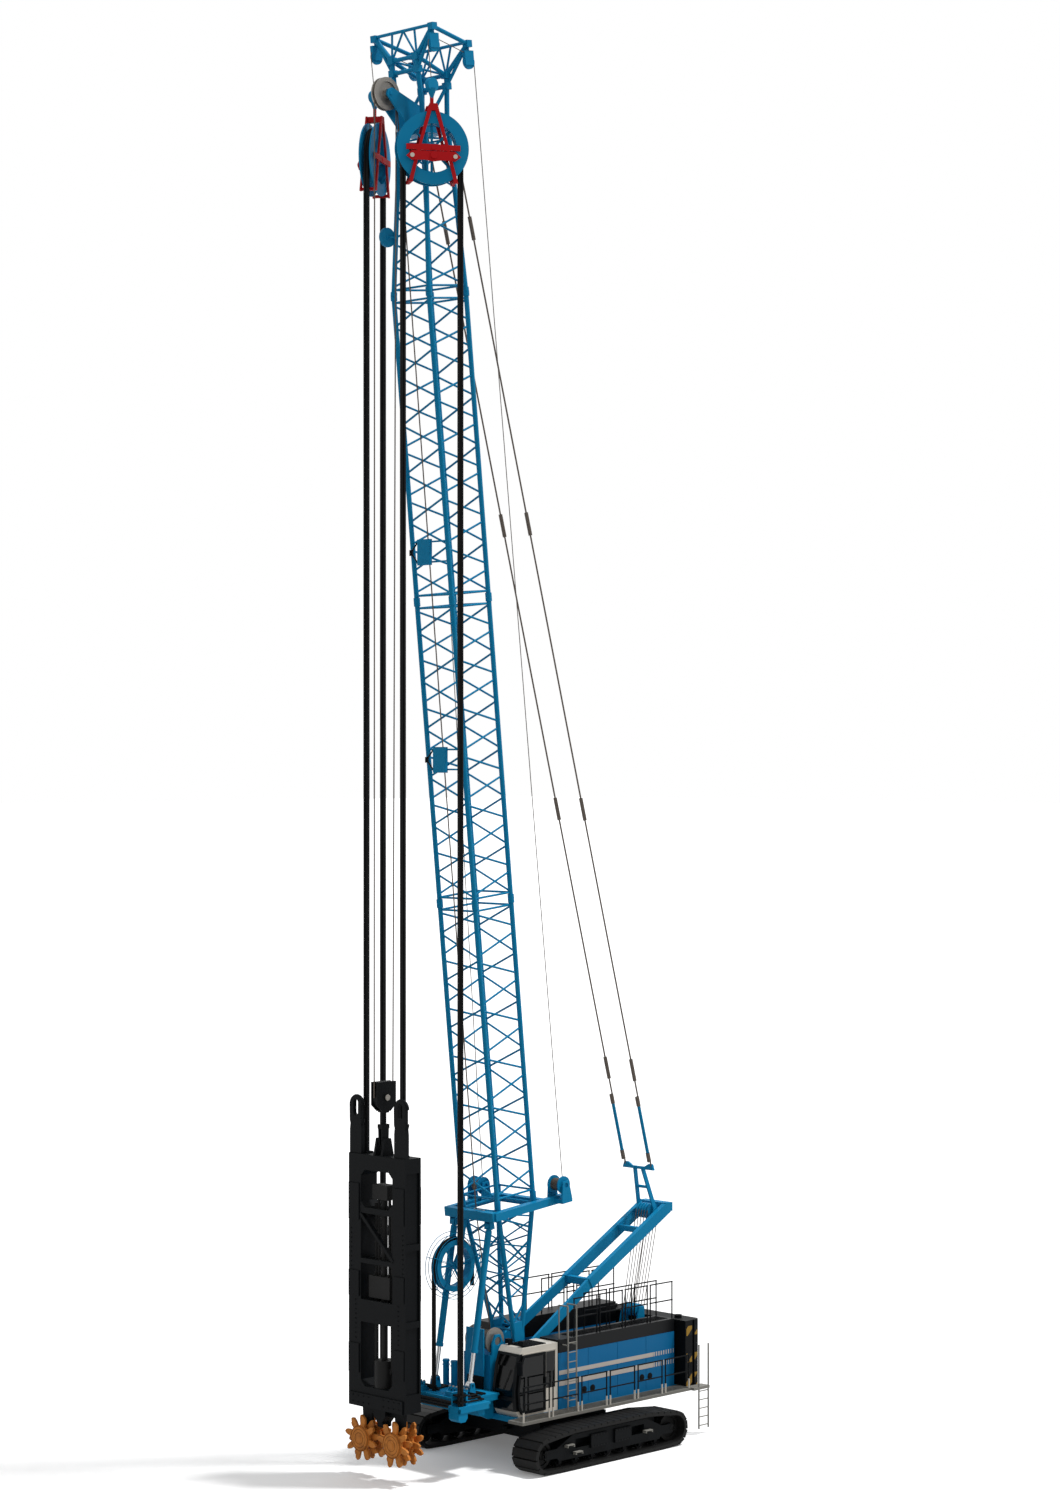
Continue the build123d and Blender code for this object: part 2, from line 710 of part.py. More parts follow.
def make_winch_frame():
    u0 = to_boom(2900, 0, 7250)[0]
    lift = foot_len - 230
    pieces = [
        block((u0 - 110, u0 + 90), (-950, 1000), (lift - 130, lift + 130)),
        block((-1650, u0), (850, 1050), (lift - 110, lift + 110)),
        block((-800, u0), (-1050, -850), (lift - 110, lift + 110)),
        block((-980, -800), (-1050, 1050), (lift - 110, lift + 110)),
    ]
    # Lugs to the chords
    for v in (-780, 780):
        for u in (-710, 710):
            pieces.append(block((u - 90, u + 90), (min(v, v * 1.15), max(v, v * 1.15)),
                                (lift - 90, lift + 90)))
    # Strut eyes
    su, _, sw = to_boom(strut_top[0], 0, strut_top[1])
    for side in (-1, 1):
        for off in (-105, 105):
            y = side * strut_y + off
            pieces.append(plate_xz([(su - 90, sw - 80), (su + 90, sw - 80), (u0, lift),
                                    (su - 60, lift)], y - 20, y + 20))
        pieces.append(across(su, sw, side * strut_y - 125, side * strut_y + 125, 45))
    # Stands of the auxiliary winches
    for u, v in ((-1420, 1), (-300, -1)):
        for y in (v * 780, v * 1340):
            pieces.append(plate_xz([(u - 210, lift), (u + 210, lift), (u + 120, lift + 560),
                                    (u - 120, lift + 560)], y - 25, y + 25)
                          - across(u, lift + 440, y - 40, y + 40, 70.4))
        ends = sorted((v * 760, v * 1366))
        pieces.append(block((u - 200, u + 200), tuple(ends), (lift - 60, lift + 60)))
    # Arm of the guide wheel
    gu, gv, gw = to_boom(*guide_c)
    pieces.append(beam((u0 - 20, gv + 190, lift), (gu, gv + 190, gw), 50, 160))
    pieces.append(across(gu, gw, gv - 150, gv + 215, 50))
    return boom_plane * fuse(pieces)


def aux_spot(side):
    u = -1420 if side > 0 else -300
    w = foot_len - 230 + 440
    return u, w


def make_aux_drum(side):
    u, w = aux_spot(side)
    y0, y1 = sorted((side * 850, side * 1270))
    return boom_plane * winch_drum(u, w, y0, y1, 150, 250, 70, 60)


def make_guide_wheel():
    x, y, z = guide_c
    wheel = across(x, z, y - 130, y + 130, guide_r - 60)
    wheel = wheel - across(x, z, y - 140, y + 140, guide_r - 170)
    for off in (-130, 105):
        rim = across(x, z, y + off, y + off + 25, guide_r - 15)
        rim = rim - across(x, z, y + off - 5, y + off + 30, guide_r - 170)
        wheel = wheel + rim
    for k in range(6):
        turn = k * pi / 3
        tip = (x + (guide_r - 120) * cos(turn), y, z + (guide_r - 120) * sin(turn))
        wheel = wheel + bar((x, y, z), tip, 60)
    wheel = wheel + across(x, z, y - 140, y + 140, 110)
    return wheel - across(x, z, y - 300, y + 300, 50.4)


def make_guide_hose():
    x, y, z = guide_c
    r = guide_r + 2.5
    path = Polyline((x + r, y, platform_top + 0.4), (x + r, y, z))
    path = path + ThreePointArc((x + r, y, z), (x, y, z + r), (x - r, y, z))
    path = path + Line((x - r, y, z), (x - r, y, z - 650))
    hose = sweep(Plane(origin=(x + r, y, platform_top + 0.4), z_dir=(0, 0, 1)) * Circle(62), path)
    return hose


def make_pendants():
    parts = []
    a = Vector(pendant_top[0], pendant_y, pendant_top[1])
    b = Vector(bridle[0], pendant_y, bridle[1])
    way = (b - a).normalized()
    length = (b - a).length
    line = [bar(a + way * 120, b, 48)]
    for share in (0.09, 0.365, 0.64, 0.9):
        spot = a + way * (length * share)
        line.append(bar(spot - way * 330, spot + way * 330, 110))
    eye = across(a.X, a.Z, pendant_y - 30, pendant_y + 30, 95)
    line.append(eye)
    one = fuse(line)
    one = one + bar(a, a + way * 300, 56)
    one = one - across(a.X, a.Z, pendant_y - 100, pendant_y + 100, pendant_pin_r + 0.4)
    parts += both(one)
    return group(parts)


def make_bridle():
    x, z = bridle
    gx, gz = gantry_pin
    plate = plate_yz([(-620, z - 60), (620, z - 60), (560, z + 120), (420, z + 120),
                      (250, z + 20), (-250, z + 20), (-420, z + 120), (-560, z + 120)],
                     x - 35, x + 35)
    links = [plate]
    for side in (-1, 1):
        links.append(beam((x, side * 150, z), (gx, side * 330, gz), 50, 130))
        links.append(across(gx, gz, *sorted((side * 305, side * 355)), 120))
    tie = 0.45
    tx, tz = x + (gx - x) * tie, z + (gz - z) * tie
    links.append(bar((tx, -230, tz), (tx, 230, tz), 90))
    shape = fuse(links)
    return shape - across(gx, gz, -400, 400, 58.4)


def make_gantry():
    gx, gz = gantry_pin
    pieces = []
    slope = atan2(gz - foot_z, gx - foot_x)
    ux, uz = cos(slope), sin(slope)
    bend = 3300
    bx, bz = foot_x + ux * bend, foot_z + uz * bend
    hx, hz = gx + ux * 420, gz + uz * 420 - 90
    for side in (-1, 1):
        y0 = side * gantry_eye_y
        y1 = side * gantry_half
        pieces.append(beam((foot_x + ux * 90, y0, foot_z + uz * 90), (bx, y1, bz), 90, 300))
        pieces.append(beam((bx - ux * 60, y1, bz - uz * 60), (hx, y1, hz), 150, 330))
        ends = sorted((side * (gantry_eye_y - 48), side * (gantry_eye_y + 48)))
        pieces.append(across(foot_x, foot_z, ends[0], ends[1], 170))
    pieces.append(beam((bx, -gantry_half, bz), (bx, gantry_half, bz), 200, 200))
    mx, mz = gx - ux * 900, gz - uz * 900
    pieces.append(beam((mx, -gantry_half, mz), (mx, gantry_half, mz), 160, 160))
    pieces.append(beam((hx, -gantry_half - 75, hz), (hx, gantry_half + 75, hz), 300, 260))
    pieces.append(across(gx, gz, -gantry_half, gantry_half, 58))
    for y in (-220, -110, 0, 110, 220):
        pieces.append(across(gx, gz, y - 40, y + 40, 230))
    shape = fuse(pieces)
    return shape - across(foot_x, foot_z, -1000, 1000, foot_pin_r + 0.4)


def strut_way():
    v = Vector(strut_low[0] - strut_top[0], 0, strut_low[1] - strut_top[1])
    return v.normalized(), v.length


def make_strut_barrels():
    way, length = strut_way()
    a = Vector(strut_top[0], strut_y, strut_top[1])
    barrel = bar(a + way * 130, a + way * (length - 930), 190)
    neck = bar(a + way * (length - 990), a + way * (length - 900), 220)
    eye = across(a.X, a.Z, strut_y - 75, strut_y + 75, 110)
    one = fuse([barrel, neck, eye, bar(a, a + way * 220, 150)])
    one = one - bar(a + way * (length - 3600), a + way * length, 122)
    one = one - across(a.X, a.Z, strut_y - 200, strut_y + 200, 45.5)
    return group(both(one))


def make_strut_rods():
    way, length = strut_way()
    a = Vector(strut_top[0], strut_y, strut_top[1])
    b = Vector(strut_low[0], strut_y, strut_low[1])
    rod = bar(a + way * (length - 2600), a + way * (length - 70), 120)
    eye = across(b.X, b.Z, strut_y - 68, strut_y + 68, 115)
    one = rod + eye - across(b.X, b.Z, strut_y - 200, strut_y + 200, 64)
    return group(both(one))


# Frame of one hose wheel: t along its plane towards the cutter, n along its axle, Z up
wheel_dx = leg_in[0] - leg_out[0]
wheel_dy = leg_in[1] - leg_out[1]
wheel_span = hypot(wheel_dx, wheel_dy)
wheel_c = ((leg_in[0] + leg_out[0]) / 2, (leg_in[1] + leg_out[1]) / 2, wheel_z)
wheel_plane = Plane(
    origin=wheel_c,
    x_dir=(wheel_dx / wheel_span, wheel_dy / wheel_span, 0),
    z_dir=(wheel_dy / wheel_span, -wheel_dx / wheel_span, 0),
)


def make_hose_wheel():
    # Local frame: x towards the cutter, y up, z along the axle
    hose_r = wheel_span / 2
    groove = hose_r - hose_gap / 2 - hose_d / 2 - 0.5
    wheel = Cylinder(groove, 300) - Cylinder(groove - 60, 310)
    for z in (-150, 150):
        ring = Pos(0, 0, z) * (Cylinder(wheel_r, 40) - Cylinder(groove - 60, 50))
        wheel = wheel + ring
    spokes = []
    for k in range(8):
        turn = k * pi / 4
        tip = ((groove - 30) * cos(turn), (groove - 30) * sin(turn), 0)
        spokes.append(lace((0, 0, 0), tip, 70))
    wheel = wheel + spokes + [Cylinder(130, 330)]
    wheel = wheel - Cylinder(60.4, 400)
    return wheel_plane * wheel


def make_hanger():
    pieces = []
    outer = make_face(Polyline((-110, 1200), (110, 1200), (690, -960), (-690, -960), close=True))
    upper = make_face(Polyline((-55, 1010), (55, 1010), (330, 85), (-330, 85), close=True))
    lower = make_face(Polyline((-375, -85), (375, -85), (590, -1000), (-590, -1000), close=True))
    sheet = extrude(outer, 50) - extrude(upper, 50) - extrude(lower, 50)
    sheet = sheet + Pos(0, 0, 25) * Box(1500, 150, 50)
    for z in (-240, 190):
        pieces.append(Pos(0, 0, z) * sheet)
    pieces.append(Pos(0, 1110, 0) * Box(180, 160, 470))
    pieces.append(Pos(0, 1280, 0) * Box(90, 260, 70))
    pieces.append(Cylinder(60, 500))
    for x in (-610, 610):
        pieces.append(Pos(x, -910, 0) * Box(80, 80, 470))
    return wheel_plane * fuse(pieces)


def hose_lanes():
    # Two by two hoses: an offset along the axle, and one inwards or outwards across the wheel
    nx, ny = wheel_dy / wheel_span, -wheel_dx / wheel_span
    step = hose_gap / 2
    return [(nx * k * step, ny * k * step, r * step) for k in (-1, 1) for r in (-1, 1)]


def make_hoses_front():
    hoses = []
    cx, cy, cz = wheel_c
    tx, ty = wheel_dx / wheel_span, wheel_dy / wheel_span
    for ox, oy, out in hose_lanes():
        turn = Vector(leg_in[0] + ox + tx * out, leg_in[1] + oy + ty * out, cz)
        start = Vector(turn.X, turn.Y, cutter_high + 0.4)
        top = Vector(cx + ox, cy + oy, cz + wheel_span / 2 + out)
        end = Vector(leg_out[0] + ox - tx * out, leg_out[1] + oy - ty * out, cz)
        path = Line(start, turn) + ThreePointArc(turn, top, end) + Line(end, end - Vector(0, 0, 600))
        hoses.append(sweep(Plane(origin=start, z_dir=(0, 0, 1)) * Circle(hose_d / 2), path))
    parts = []
    for hose in hoses:
        parts += both(hose)
    return group(parts)


def make_hoses_back():
    parts = []
    tx, ty = wheel_dx / wheel_span, wheel_dy / wheel_span
    for ox, oy, out in hose_lanes():
        x, y = leg_out[0] + ox - tx * out, leg_out[1] + oy - ty * out
        parts += both(bar((x, y, platform_top + 0.4), (x, y, wheel_z - 600.4), hose_d))
    return group(parts)


def make_hook_block():
    x = cutter_x + 40
    pieces = []
    for y in (-110, 110):
        pieces.append(plate_xz([(x - 345, 10300), (x - 150, 10120), (x + 150, 10120),
                                (x + 345, 10300), (x + 345, 10930), (x - 345, 10930)],
                               y - 20, y + 20))
    pieces.append(across(x, 10500, -90, 90, 330))
    pieces.append(block((x - 250, x + 250), (-110, 110), (10850, 10930)))
    pieces.append(across(x, 10500, -160, 160, 60))
    pieces.append(upright(x, 0, 9700, 10140, 80))
    pieces.append(block((x - 90, x + 90), (-130, 130), (10080, 10240)))
    for y in (-62, 62):
        pieces.append(plate_xz([(x - 130, 9740), (x + 130, 9740), (x + 110, 9180), (x - 110, 9180)],
                               y - 22, y + 22))
    pieces.append(across(x, 9280, -195, 195, 50))
    pieces.append(block((x - 140, x + 140), (-90, 90), (9640, 9760)))
    return fuse(pieces)


def make_cutter_frame():
    x0, x1 = cutter_x - cutter_half_x, cutter_x + cutter_half_x
    body = block((x0, x1), (-cutter_half_y, cutter_half_y), (cutter_low, cutter_high))
    octagon = [(-640, 7620), (-480, 7460), (480, 7460), (640, 7620), (640, 8330), (480, 8490),
               (-480, 8490), (-640, 8330)]
    cuts = [
        plate_yz(octagon, x0 - 10, x1 + 10),
        block((x0 - 10, x1 + 10), (-640, 640), (6060, 7300)),
        block((x0 - 10, x1 + 10), (-640, 640), (4930, 5930)),
        plate_yz([(-640, 2720), (-470, 2550), (470, 2550), (640, 2720), (640, 4320), (-640, 4320)],
                 x0 - 10, x1 + 10),
    ]
    for side in (-1, 1):
        lo, hi = sorted((side * (cutter_half_y - 50), side * (cutter_half_y + 10)))
        for z0, z1 in ((2500, 4300), (4480, 6400), (6580, 8500)):
            cuts.append(block((x0 + 60, x1 - 60), (lo, hi), (z0, z1)))
    # Way through the cross beams for the pump and pipes
    cuts.append(block((cutter_x - 210, cutter_x + 210), (-450, 450), (2600, 8200)))
    body = body - cuts
    pieces = [body]
    # Diagonal brace of the second window, front and back
    for x in (x0 + 50, x1 - 50):
        pieces.append(beam((x, -660, 7280), (x, 660, 6080), 90, 130))
    # Guide pads
    for side in (-1, 1):
        for z0, z1 in ((2900, 3700), (5000, 5700), (7100, 8100)):
            lo, hi = sorted((side * 700, side * (cutter_half_y - 20)))
            pieces.append(block((x0 - 28, x0 + 40), (lo, hi), (z0, z1)))
            pieces.append(block((x1 - 40, x1 + 28), (lo, hi), (z0, z1)))
    # Lifting ears and hook lugs
    for side in (-1, 1):
        y = side * 900
        ear = plate_yz([(y - 235, cutter_high - 40), (y + 235, cutter_high - 40), (y + 235, 9550),
                        (y + ear_r, 9850), (y + ear_r, ear_z), (y - ear_r, ear_z), (y - ear_r, 9850),
                        (y - 235, 9550)], cutter_x + 140, cutter_x + 260)
        ear = ear + along(y, ear_z, cutter_x + 140, cutter_x + 260, ear_r)
        eye = plate_yz([(y - 95, ear_z - 260), (y + 95, ear_z - 260), (y + 95, ear_z), (y - 95, ear_z)],
                       cutter_x + 120, cutter_x + 280)
        for z in (ear_z - 260, ear_z):
            eye = eye + along(y, z, cutter_x + 120, cutter_x + 280, 95)
        ear = ear - eye
        pieces.append(ear)
    for y in (-150, 150):
        pieces.append(plate_xz([(cutter_x - 180, cutter_high - 40), (cutter_x + 260, cutter_high - 40),
                                (cutter_x + 150, 9380), (cutter_x - 70, 9380)], y - 40, y + 40)
                      - across(cutter_x + 40, 9280, y - 60, y + 60, 50.4))
    # Bottom collar
    pieces.append(block((x0 - 40, x1 + 40), (-cutter_half_y + 60, cutter_half_y - 60),
                        (cutter_low, cutter_low + 360)))
    return fuse(pieces)


def make_cutter_pump():
    pieces = [
        upright(cutter_x, 0, 2352, 3300, 300 - 20),
        upright(cutter_x, 0, 3250, 7900, 90),
        block((cutter_x - 200, cutter_x + 200), (-420, 420), (5000, 5600)),
        block((cutter_x - 180, cutter_x + 180), (-300, 300), (7700, 8100)),
    ]
    for y in (-330, -210, 210, 330):
        pieces.append(upright(cutter_x, y, 5500, 7900 - abs(y), 45))
    for y in (-330, 330):
        pieces.append(upright(cutter_x, y, 3000, 5100, 60))
        pieces.append(block((cutter_x - 70, cutter_x + 70), sorted((y, 0)), (2950, 3090)))
    pump = fuse(pieces)
    frame_gap = block((cutter_x - 400, cutter_x + 400), (-639, 639), (2551, 8480))
    return pump & frame_gap


def make_gearbox():
    pieces = []
    for side in (-1, 1):
        y = side * drum_y
        pieces.append(plate_yz([(y - 200, cutter_low - 1), (y + 200, cutter_low - 1),
                                (y + 150, drum_z), (y + 90, drum_z - 110), (y - 90, drum_z - 110),
                                (y - 150, drum_z)], cutter_x - 45, cutter_x + 45))
        pieces.append(along(y, drum_z, cutter_x - 300, cutter_x + 300, 108))
    pieces.append(block((cutter_x - 160, cutter_x + 160), (-100, 100), (1480, cutter_low - 1)))
    pieces.append(block((cutter_x - 45, cutter_x + 45), (-700, 700), (1780, cutter_low - 1)))
    return fuse(pieces)


def drum_row(x0, x1, turn):
    # One row of holders and teeth, seen along the drum axis
    shape = Circle(drum_disc_r - 10)
    for k in range(8):
        tooth = Polygon((drum_disc_r - 60, -85), (drum_disc_r + 110, -95), (drum_tip_r - 40, -70),
                        (drum_tip_r, -10), (drum_tip_r, 20), (drum_tip_r - 70, 60),
                        (drum_disc_r - 60, 85), align=None)
        shape = shape + Rot(0, 0, turn + 45 * k) * tooth
    frame = Plane(origin=(x0, 0, 0), x_dir=(0, 1, 0), z_dir=(1, 0, 0))
    return extrude(frame * shape, x1 - x0)


def make_drum(side):
    rows = []
    step = 68
    for half in (-1, 1):
        for k in range(2):
            a = half * (110 + k * 140)
            x0, x1 = sorted((a, a + half * step))
            rows.append(drum_row(x0, x1, (22.5 if k else 0) + (11 if half > 0 else 0)))
        x0, x1 = sorted((half * 62, half * drum_half_x))
        rows.append(along(0, 0, x0, x1, drum_disc_r - 60))
        x0, x1 = sorted((half * (drum_half_x - 40), half * drum_half_x))
        rows.append(along(0, 0, x0, x1, drum_disc_r))
    drum = fuse(rows)
    drum = drum - along(0, 0, -312, 312, 108.4)
    solids = [Pos(cutter_x, side * drum_y, drum_z) * s for s in drum.solids()]
    return group(solids)


def make_parts():
    left_wheel = make_hose_wheel()
    hanger = make_hanger()
    return {
        "carbody": make_carbody(),
        "crawler_frame_left": make_crawler_frame(1),
        "crawler_frame_right": make_crawler_frame(-1),
        "track_left": make_track(1),
        "track_right": make_track(-1),
        "track_end_wheels": make_end_wheels(),
        "upper_frame": make_upper_frame(),
        "counterweight": make_counterweight(),
        "house_left": make_house(1),
        "house_right": make_house(-1),
        "engine_block": block((-3000, -600), (-1480, -900), (deck_top + wall, 2700)),
        "cab_shell": make_cab(),
        "cab_glass": make_cab_glass(),
        "cab_seat": make_cab_seat(),
        "cab_door": make_door(),
        "cab_door_glass": make_door_glass(),
        "walkways": make_walkways(),
        "handrails": make_handrails(),
        "roof_rails": make_roof_rails(),
        "ladders": make_ladders(),
        "front_platform": make_platform(),
        "main_winch_drum": winch_drum(2310, 3380, -420, 420, 240, 360, 120, 100),
        "boom_foot": make_boom_foot(),
        "boom_section_1": make_section(foot_len),
        "boom_section_2": make_section(foot_len + section_len),
        "boom_section_3": make_section(foot_len + 2 * section_len),
        "boom_top": make_boom_top(),
        "head_frame": make_head(),
        "head_sheave": make_head_sheave(),
        "winch_frame": make_winch_frame(),
        "winch_drum_left": make_aux_drum(1),
        "winch_drum_right": make_aux_drum(-1),
        "guide_wheel": make_guide_wheel(),
        "guide_hose": make_guide_hose(),
        "pendants": make_pendants(),
        "bridle": make_bridle(),
        "gantry": make_gantry(),
        "strut_barrels": make_strut_barrels(),
        "strut_rods": make_strut_rods(),
        "hose_wheel_left": left_wheel,
        "hose_wheel_right": mirror(left_wheel, about=Plane.XZ),
        "wheel_hangers": group(both(hanger)),
        "hoses_front": make_hoses_front(),
        "hoses_back": make_hoses_back(),
        "hook_block": make_hook_block(),
        "cutter_frame": make_cutter_frame(),
        "cutter_pump": make_cutter_pump(),
        "cutter_gearbox": make_gearbox(),
        "cutting_drum_left": make_drum(1),
        "cutting_drum_right": make_drum(-1),
    }


if __name__ == "__main__":
    os.makedirs("parts", exist_ok=True)
    for name, shape in make_parts().items():
        moved = Pos(shift_x, 0, 0) * shape
        export_step(moved, os.path.join("parts", name + ".step"))
        box = moved.bounding_box()
        print(name, len(moved.solids()), [round(v) for v in (*box.min, *box.max)])
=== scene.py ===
import math

import bmesh
import bpy
from mathutils import Matrix, Vector


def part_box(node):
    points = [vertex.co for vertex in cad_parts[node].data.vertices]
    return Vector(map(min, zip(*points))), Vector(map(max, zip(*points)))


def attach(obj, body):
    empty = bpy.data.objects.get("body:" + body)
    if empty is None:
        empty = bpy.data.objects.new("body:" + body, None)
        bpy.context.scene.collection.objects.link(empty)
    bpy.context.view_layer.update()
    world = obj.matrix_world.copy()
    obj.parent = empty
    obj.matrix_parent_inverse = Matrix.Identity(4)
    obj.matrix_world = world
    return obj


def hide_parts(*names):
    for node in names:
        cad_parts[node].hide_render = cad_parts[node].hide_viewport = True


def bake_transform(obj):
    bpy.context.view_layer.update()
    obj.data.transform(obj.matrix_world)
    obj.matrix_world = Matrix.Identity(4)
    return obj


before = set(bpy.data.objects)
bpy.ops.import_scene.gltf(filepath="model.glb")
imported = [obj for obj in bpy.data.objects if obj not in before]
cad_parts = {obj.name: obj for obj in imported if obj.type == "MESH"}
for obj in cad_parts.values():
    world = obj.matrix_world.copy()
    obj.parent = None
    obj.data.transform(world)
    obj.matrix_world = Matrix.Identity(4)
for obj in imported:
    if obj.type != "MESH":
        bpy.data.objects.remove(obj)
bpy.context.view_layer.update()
carLow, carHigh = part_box("carbody")
slewX = (carLow.x + carHigh.x) / 2  # the slewing axis, from which all lengths below are measured
sink = 0.002  # how far a piece sinks into what carries it
print("frame loaded, slewing axis at", round(slewX, 3))


# Small tools

def at(x, y, z):
    return Vector((x + slewX, y, z))


def onCircle(radius, turn):
    return radius * math.cos(turn), radius * math.sin(turn)


def arcTurns(span, steps=24):
    return [span * k / steps for k in range(steps + 1)]


def boltCircle(radius, count):
    return [onCircle(radius, 2 * math.pi * k / count) for k in range(count)]


def hexToLinear(code):
    channels = [int(code[i:i + 2], 16) / 255 for i in (1, 3, 5)]
    linear = [c / 12.92 if c <= 0.04045 else ((c + 0.055) / 1.055) ** 2.4 for c in channels]
    return (*linear, 1.0)


def addNode(tree, kind, inputs=None, **settings):
    node = tree.nodes.new(kind)
    for key, value in settings.items():
        setattr(node, key, value)
    for key, value in (inputs or {}).items():
        if isinstance(value, bpy.types.NodeSocket):
            tree.links.new(value, node.inputs[key])
        else:
            node.inputs[key].default_value = value
    return node


def linkObject(name, mesh):
    obj = bpy.data.objects.new(name, mesh)
    bpy.context.scene.collection.objects.link(obj)
    return obj


def addBox(bm, low, high):
    size = [high[i] - low[i] for i in range(3)]
    middle = [(high[i] + low[i]) / 2 for i in range(3)]
    place = Matrix.Translation(middle) @ Matrix.Diagonal((*size, 1))
    bmesh.ops.create_cube(bm, size=1, matrix=place)


def addRound(bm, start, end, radius, sides=24, endRadius=None):
    way = end - start
    turn = way.to_track_quat("Z", "Y").to_matrix().to_4x4()
    place = Matrix.Translation((start + end) / 2) @ turn
    bmesh.ops.create_cone(
        bm, cap_ends=True, segments=sides, radius1=radius,
        radius2=radius if endRadius is None else endRadius, depth=way.length, matrix=place,
    )


def addRing(bm, centre, axis, radius, wire, steps=48, sides=8):
    side = axis.orthogonal().normalized()
    other = axis.cross(side).normalized()
    loops = []
    for i in range(steps):
        turn = 2 * math.pi * i / steps
        out = side * math.cos(turn) + other * math.sin(turn)
        loop = []
        for k in range(sides):
            lap = 2 * math.pi * k / sides
            spot = centre + out * (radius + wire * math.cos(lap)) + axis * (wire * math.sin(lap))
            loop.append(bm.verts.new(spot))
        loops.append(loop)
    for i in range(steps):
        a, b = loops[i], loops[(i + 1) % steps]
        for k in range(sides):
            bm.faces.new((a[k], a[(k + 1) % sides], b[(k + 1) % sides], b[k]))


def addPlate(bm, outline, through):
    # a flat plate from its outline, with the way through it
    front = [bm.verts.new(p) for p in outline]
    back = [bm.verts.new(p + through) for p in outline]
    bm.faces.new(front)
    bm.faces.new(list(reversed(back)))
    for i in range(len(outline)):
        j = (i + 1) % len(outline)
        bm.faces.new((front[j], front[i], back[i], back[j]))


def smoothByAngle(mesh, degrees=35):
    for face in mesh.polygons:
        face.use_smooth = True
    mesh.set_sharp_from_angle(angle=math.radians(degrees))


def finishPiece(name, bm, material, body):
    bmesh.ops.recalc_face_normals(bm, faces=bm.faces)
    mesh = bpy.data.meshes.new(name)
    bm.to_mesh(mesh)
    bm.free()
    mesh.materials.append(material)
    smoothByAngle(mesh)
    obj = linkObject(name, mesh)
    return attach(obj, body)


# Materials

def startMaterial(name):
    material = bpy.data.materials.new(name)
    material.use_nodes = True
    tree = material.node_tree
    return material, tree, tree.nodes["Principled BSDF"]


def surfaceSpot(tree):
    return addNode(tree, "ShaderNodeTexCoord").outputs["Object"]


def setShader(shader, values):
    for label, value in values.items():
        shader.inputs[label].default_value = value


def dustyColour(tree, spot, colour, dust, patchMm, share):
    # slow cloudy dust over one paint colour
    cloud = addNode(tree, "ShaderNodeTexNoise", {"Vector": spot, "Scale": 1000 / patchMm, "Detail": 4.0})
    spread = addNode(tree, "ShaderNodeMapRange", {"Value": cloud.outputs["Fac"], "From Min": 0.45,
                                                  "From Max": 0.75, "To Min": 0.0, "To Max": share})
    mix = addNode(tree, "ShaderNodeMix", {"Factor": spread.outputs["Result"]}, data_type="RGBA")
    mix.inputs[6].default_value = hexToLinear(colour)
    mix.inputs[7].default_value = hexToLinear(dust)
    return mix.outputs[2]


def addGrain(tree, shader, spot, grainMm, strength):
    grain = addNode(tree, "ShaderNodeTexNoise", {"Vector": spot, "Scale": 1000 / grainMm, "Detail": 2.0})
    bump = addNode(tree, "ShaderNodeBump", {"Height": grain.outputs["Fac"], "Strength": strength,
                                            "Distance": 0.004})
    tree.links.new(bump.outputs["Normal"], shader.inputs["Normal"])


def enamelPaint(name, colour, dust, roughness, patchMm=900, share=0.25, shine=0.2):
    # sprayed machine enamel: even colour, soft gloss, thin dust in slow patches
    material, tree, shader = startMaterial(name)
    spot = surfaceSpot(tree)
    tree.links.new(dustyColour(tree, spot, colour, dust, patchMm, share), shader.inputs["Base Color"])
    setShader(shader, {"Roughness": roughness, "IOR": 1.5, "Specular IOR Level": shine})
    return material


def houseEnamel(blue, black, edge):
    # the house sides are blue up to the band edge and black above it
    material, tree, shader = startMaterial("houseEnamel")
    spot = surfaceSpot(tree)
    height = addNode(tree, "ShaderNodeSeparateXYZ", {"Vector": spot})
    above = addNode(tree, "ShaderNodeMath", {0: height.outputs["Z"], 1: edge}, operation="GREATER_THAN")
    mix = addNode(tree, "ShaderNodeMix", {"Factor": above.outputs["Value"]}, data_type="RGBA")
    mix.inputs[7].default_value = hexToLinear(black)
    tree.links.new(dustyColour(tree, spot, blue, "#2A6E96", 1200, 0.2), mix.inputs[6])
    tree.links.new(mix.outputs[2], shader.inputs["Base Color"])
    setShader(shader, {"Roughness": 0.42, "IOR": 1.5, "Specular IOR Level": 0.12})
    return material


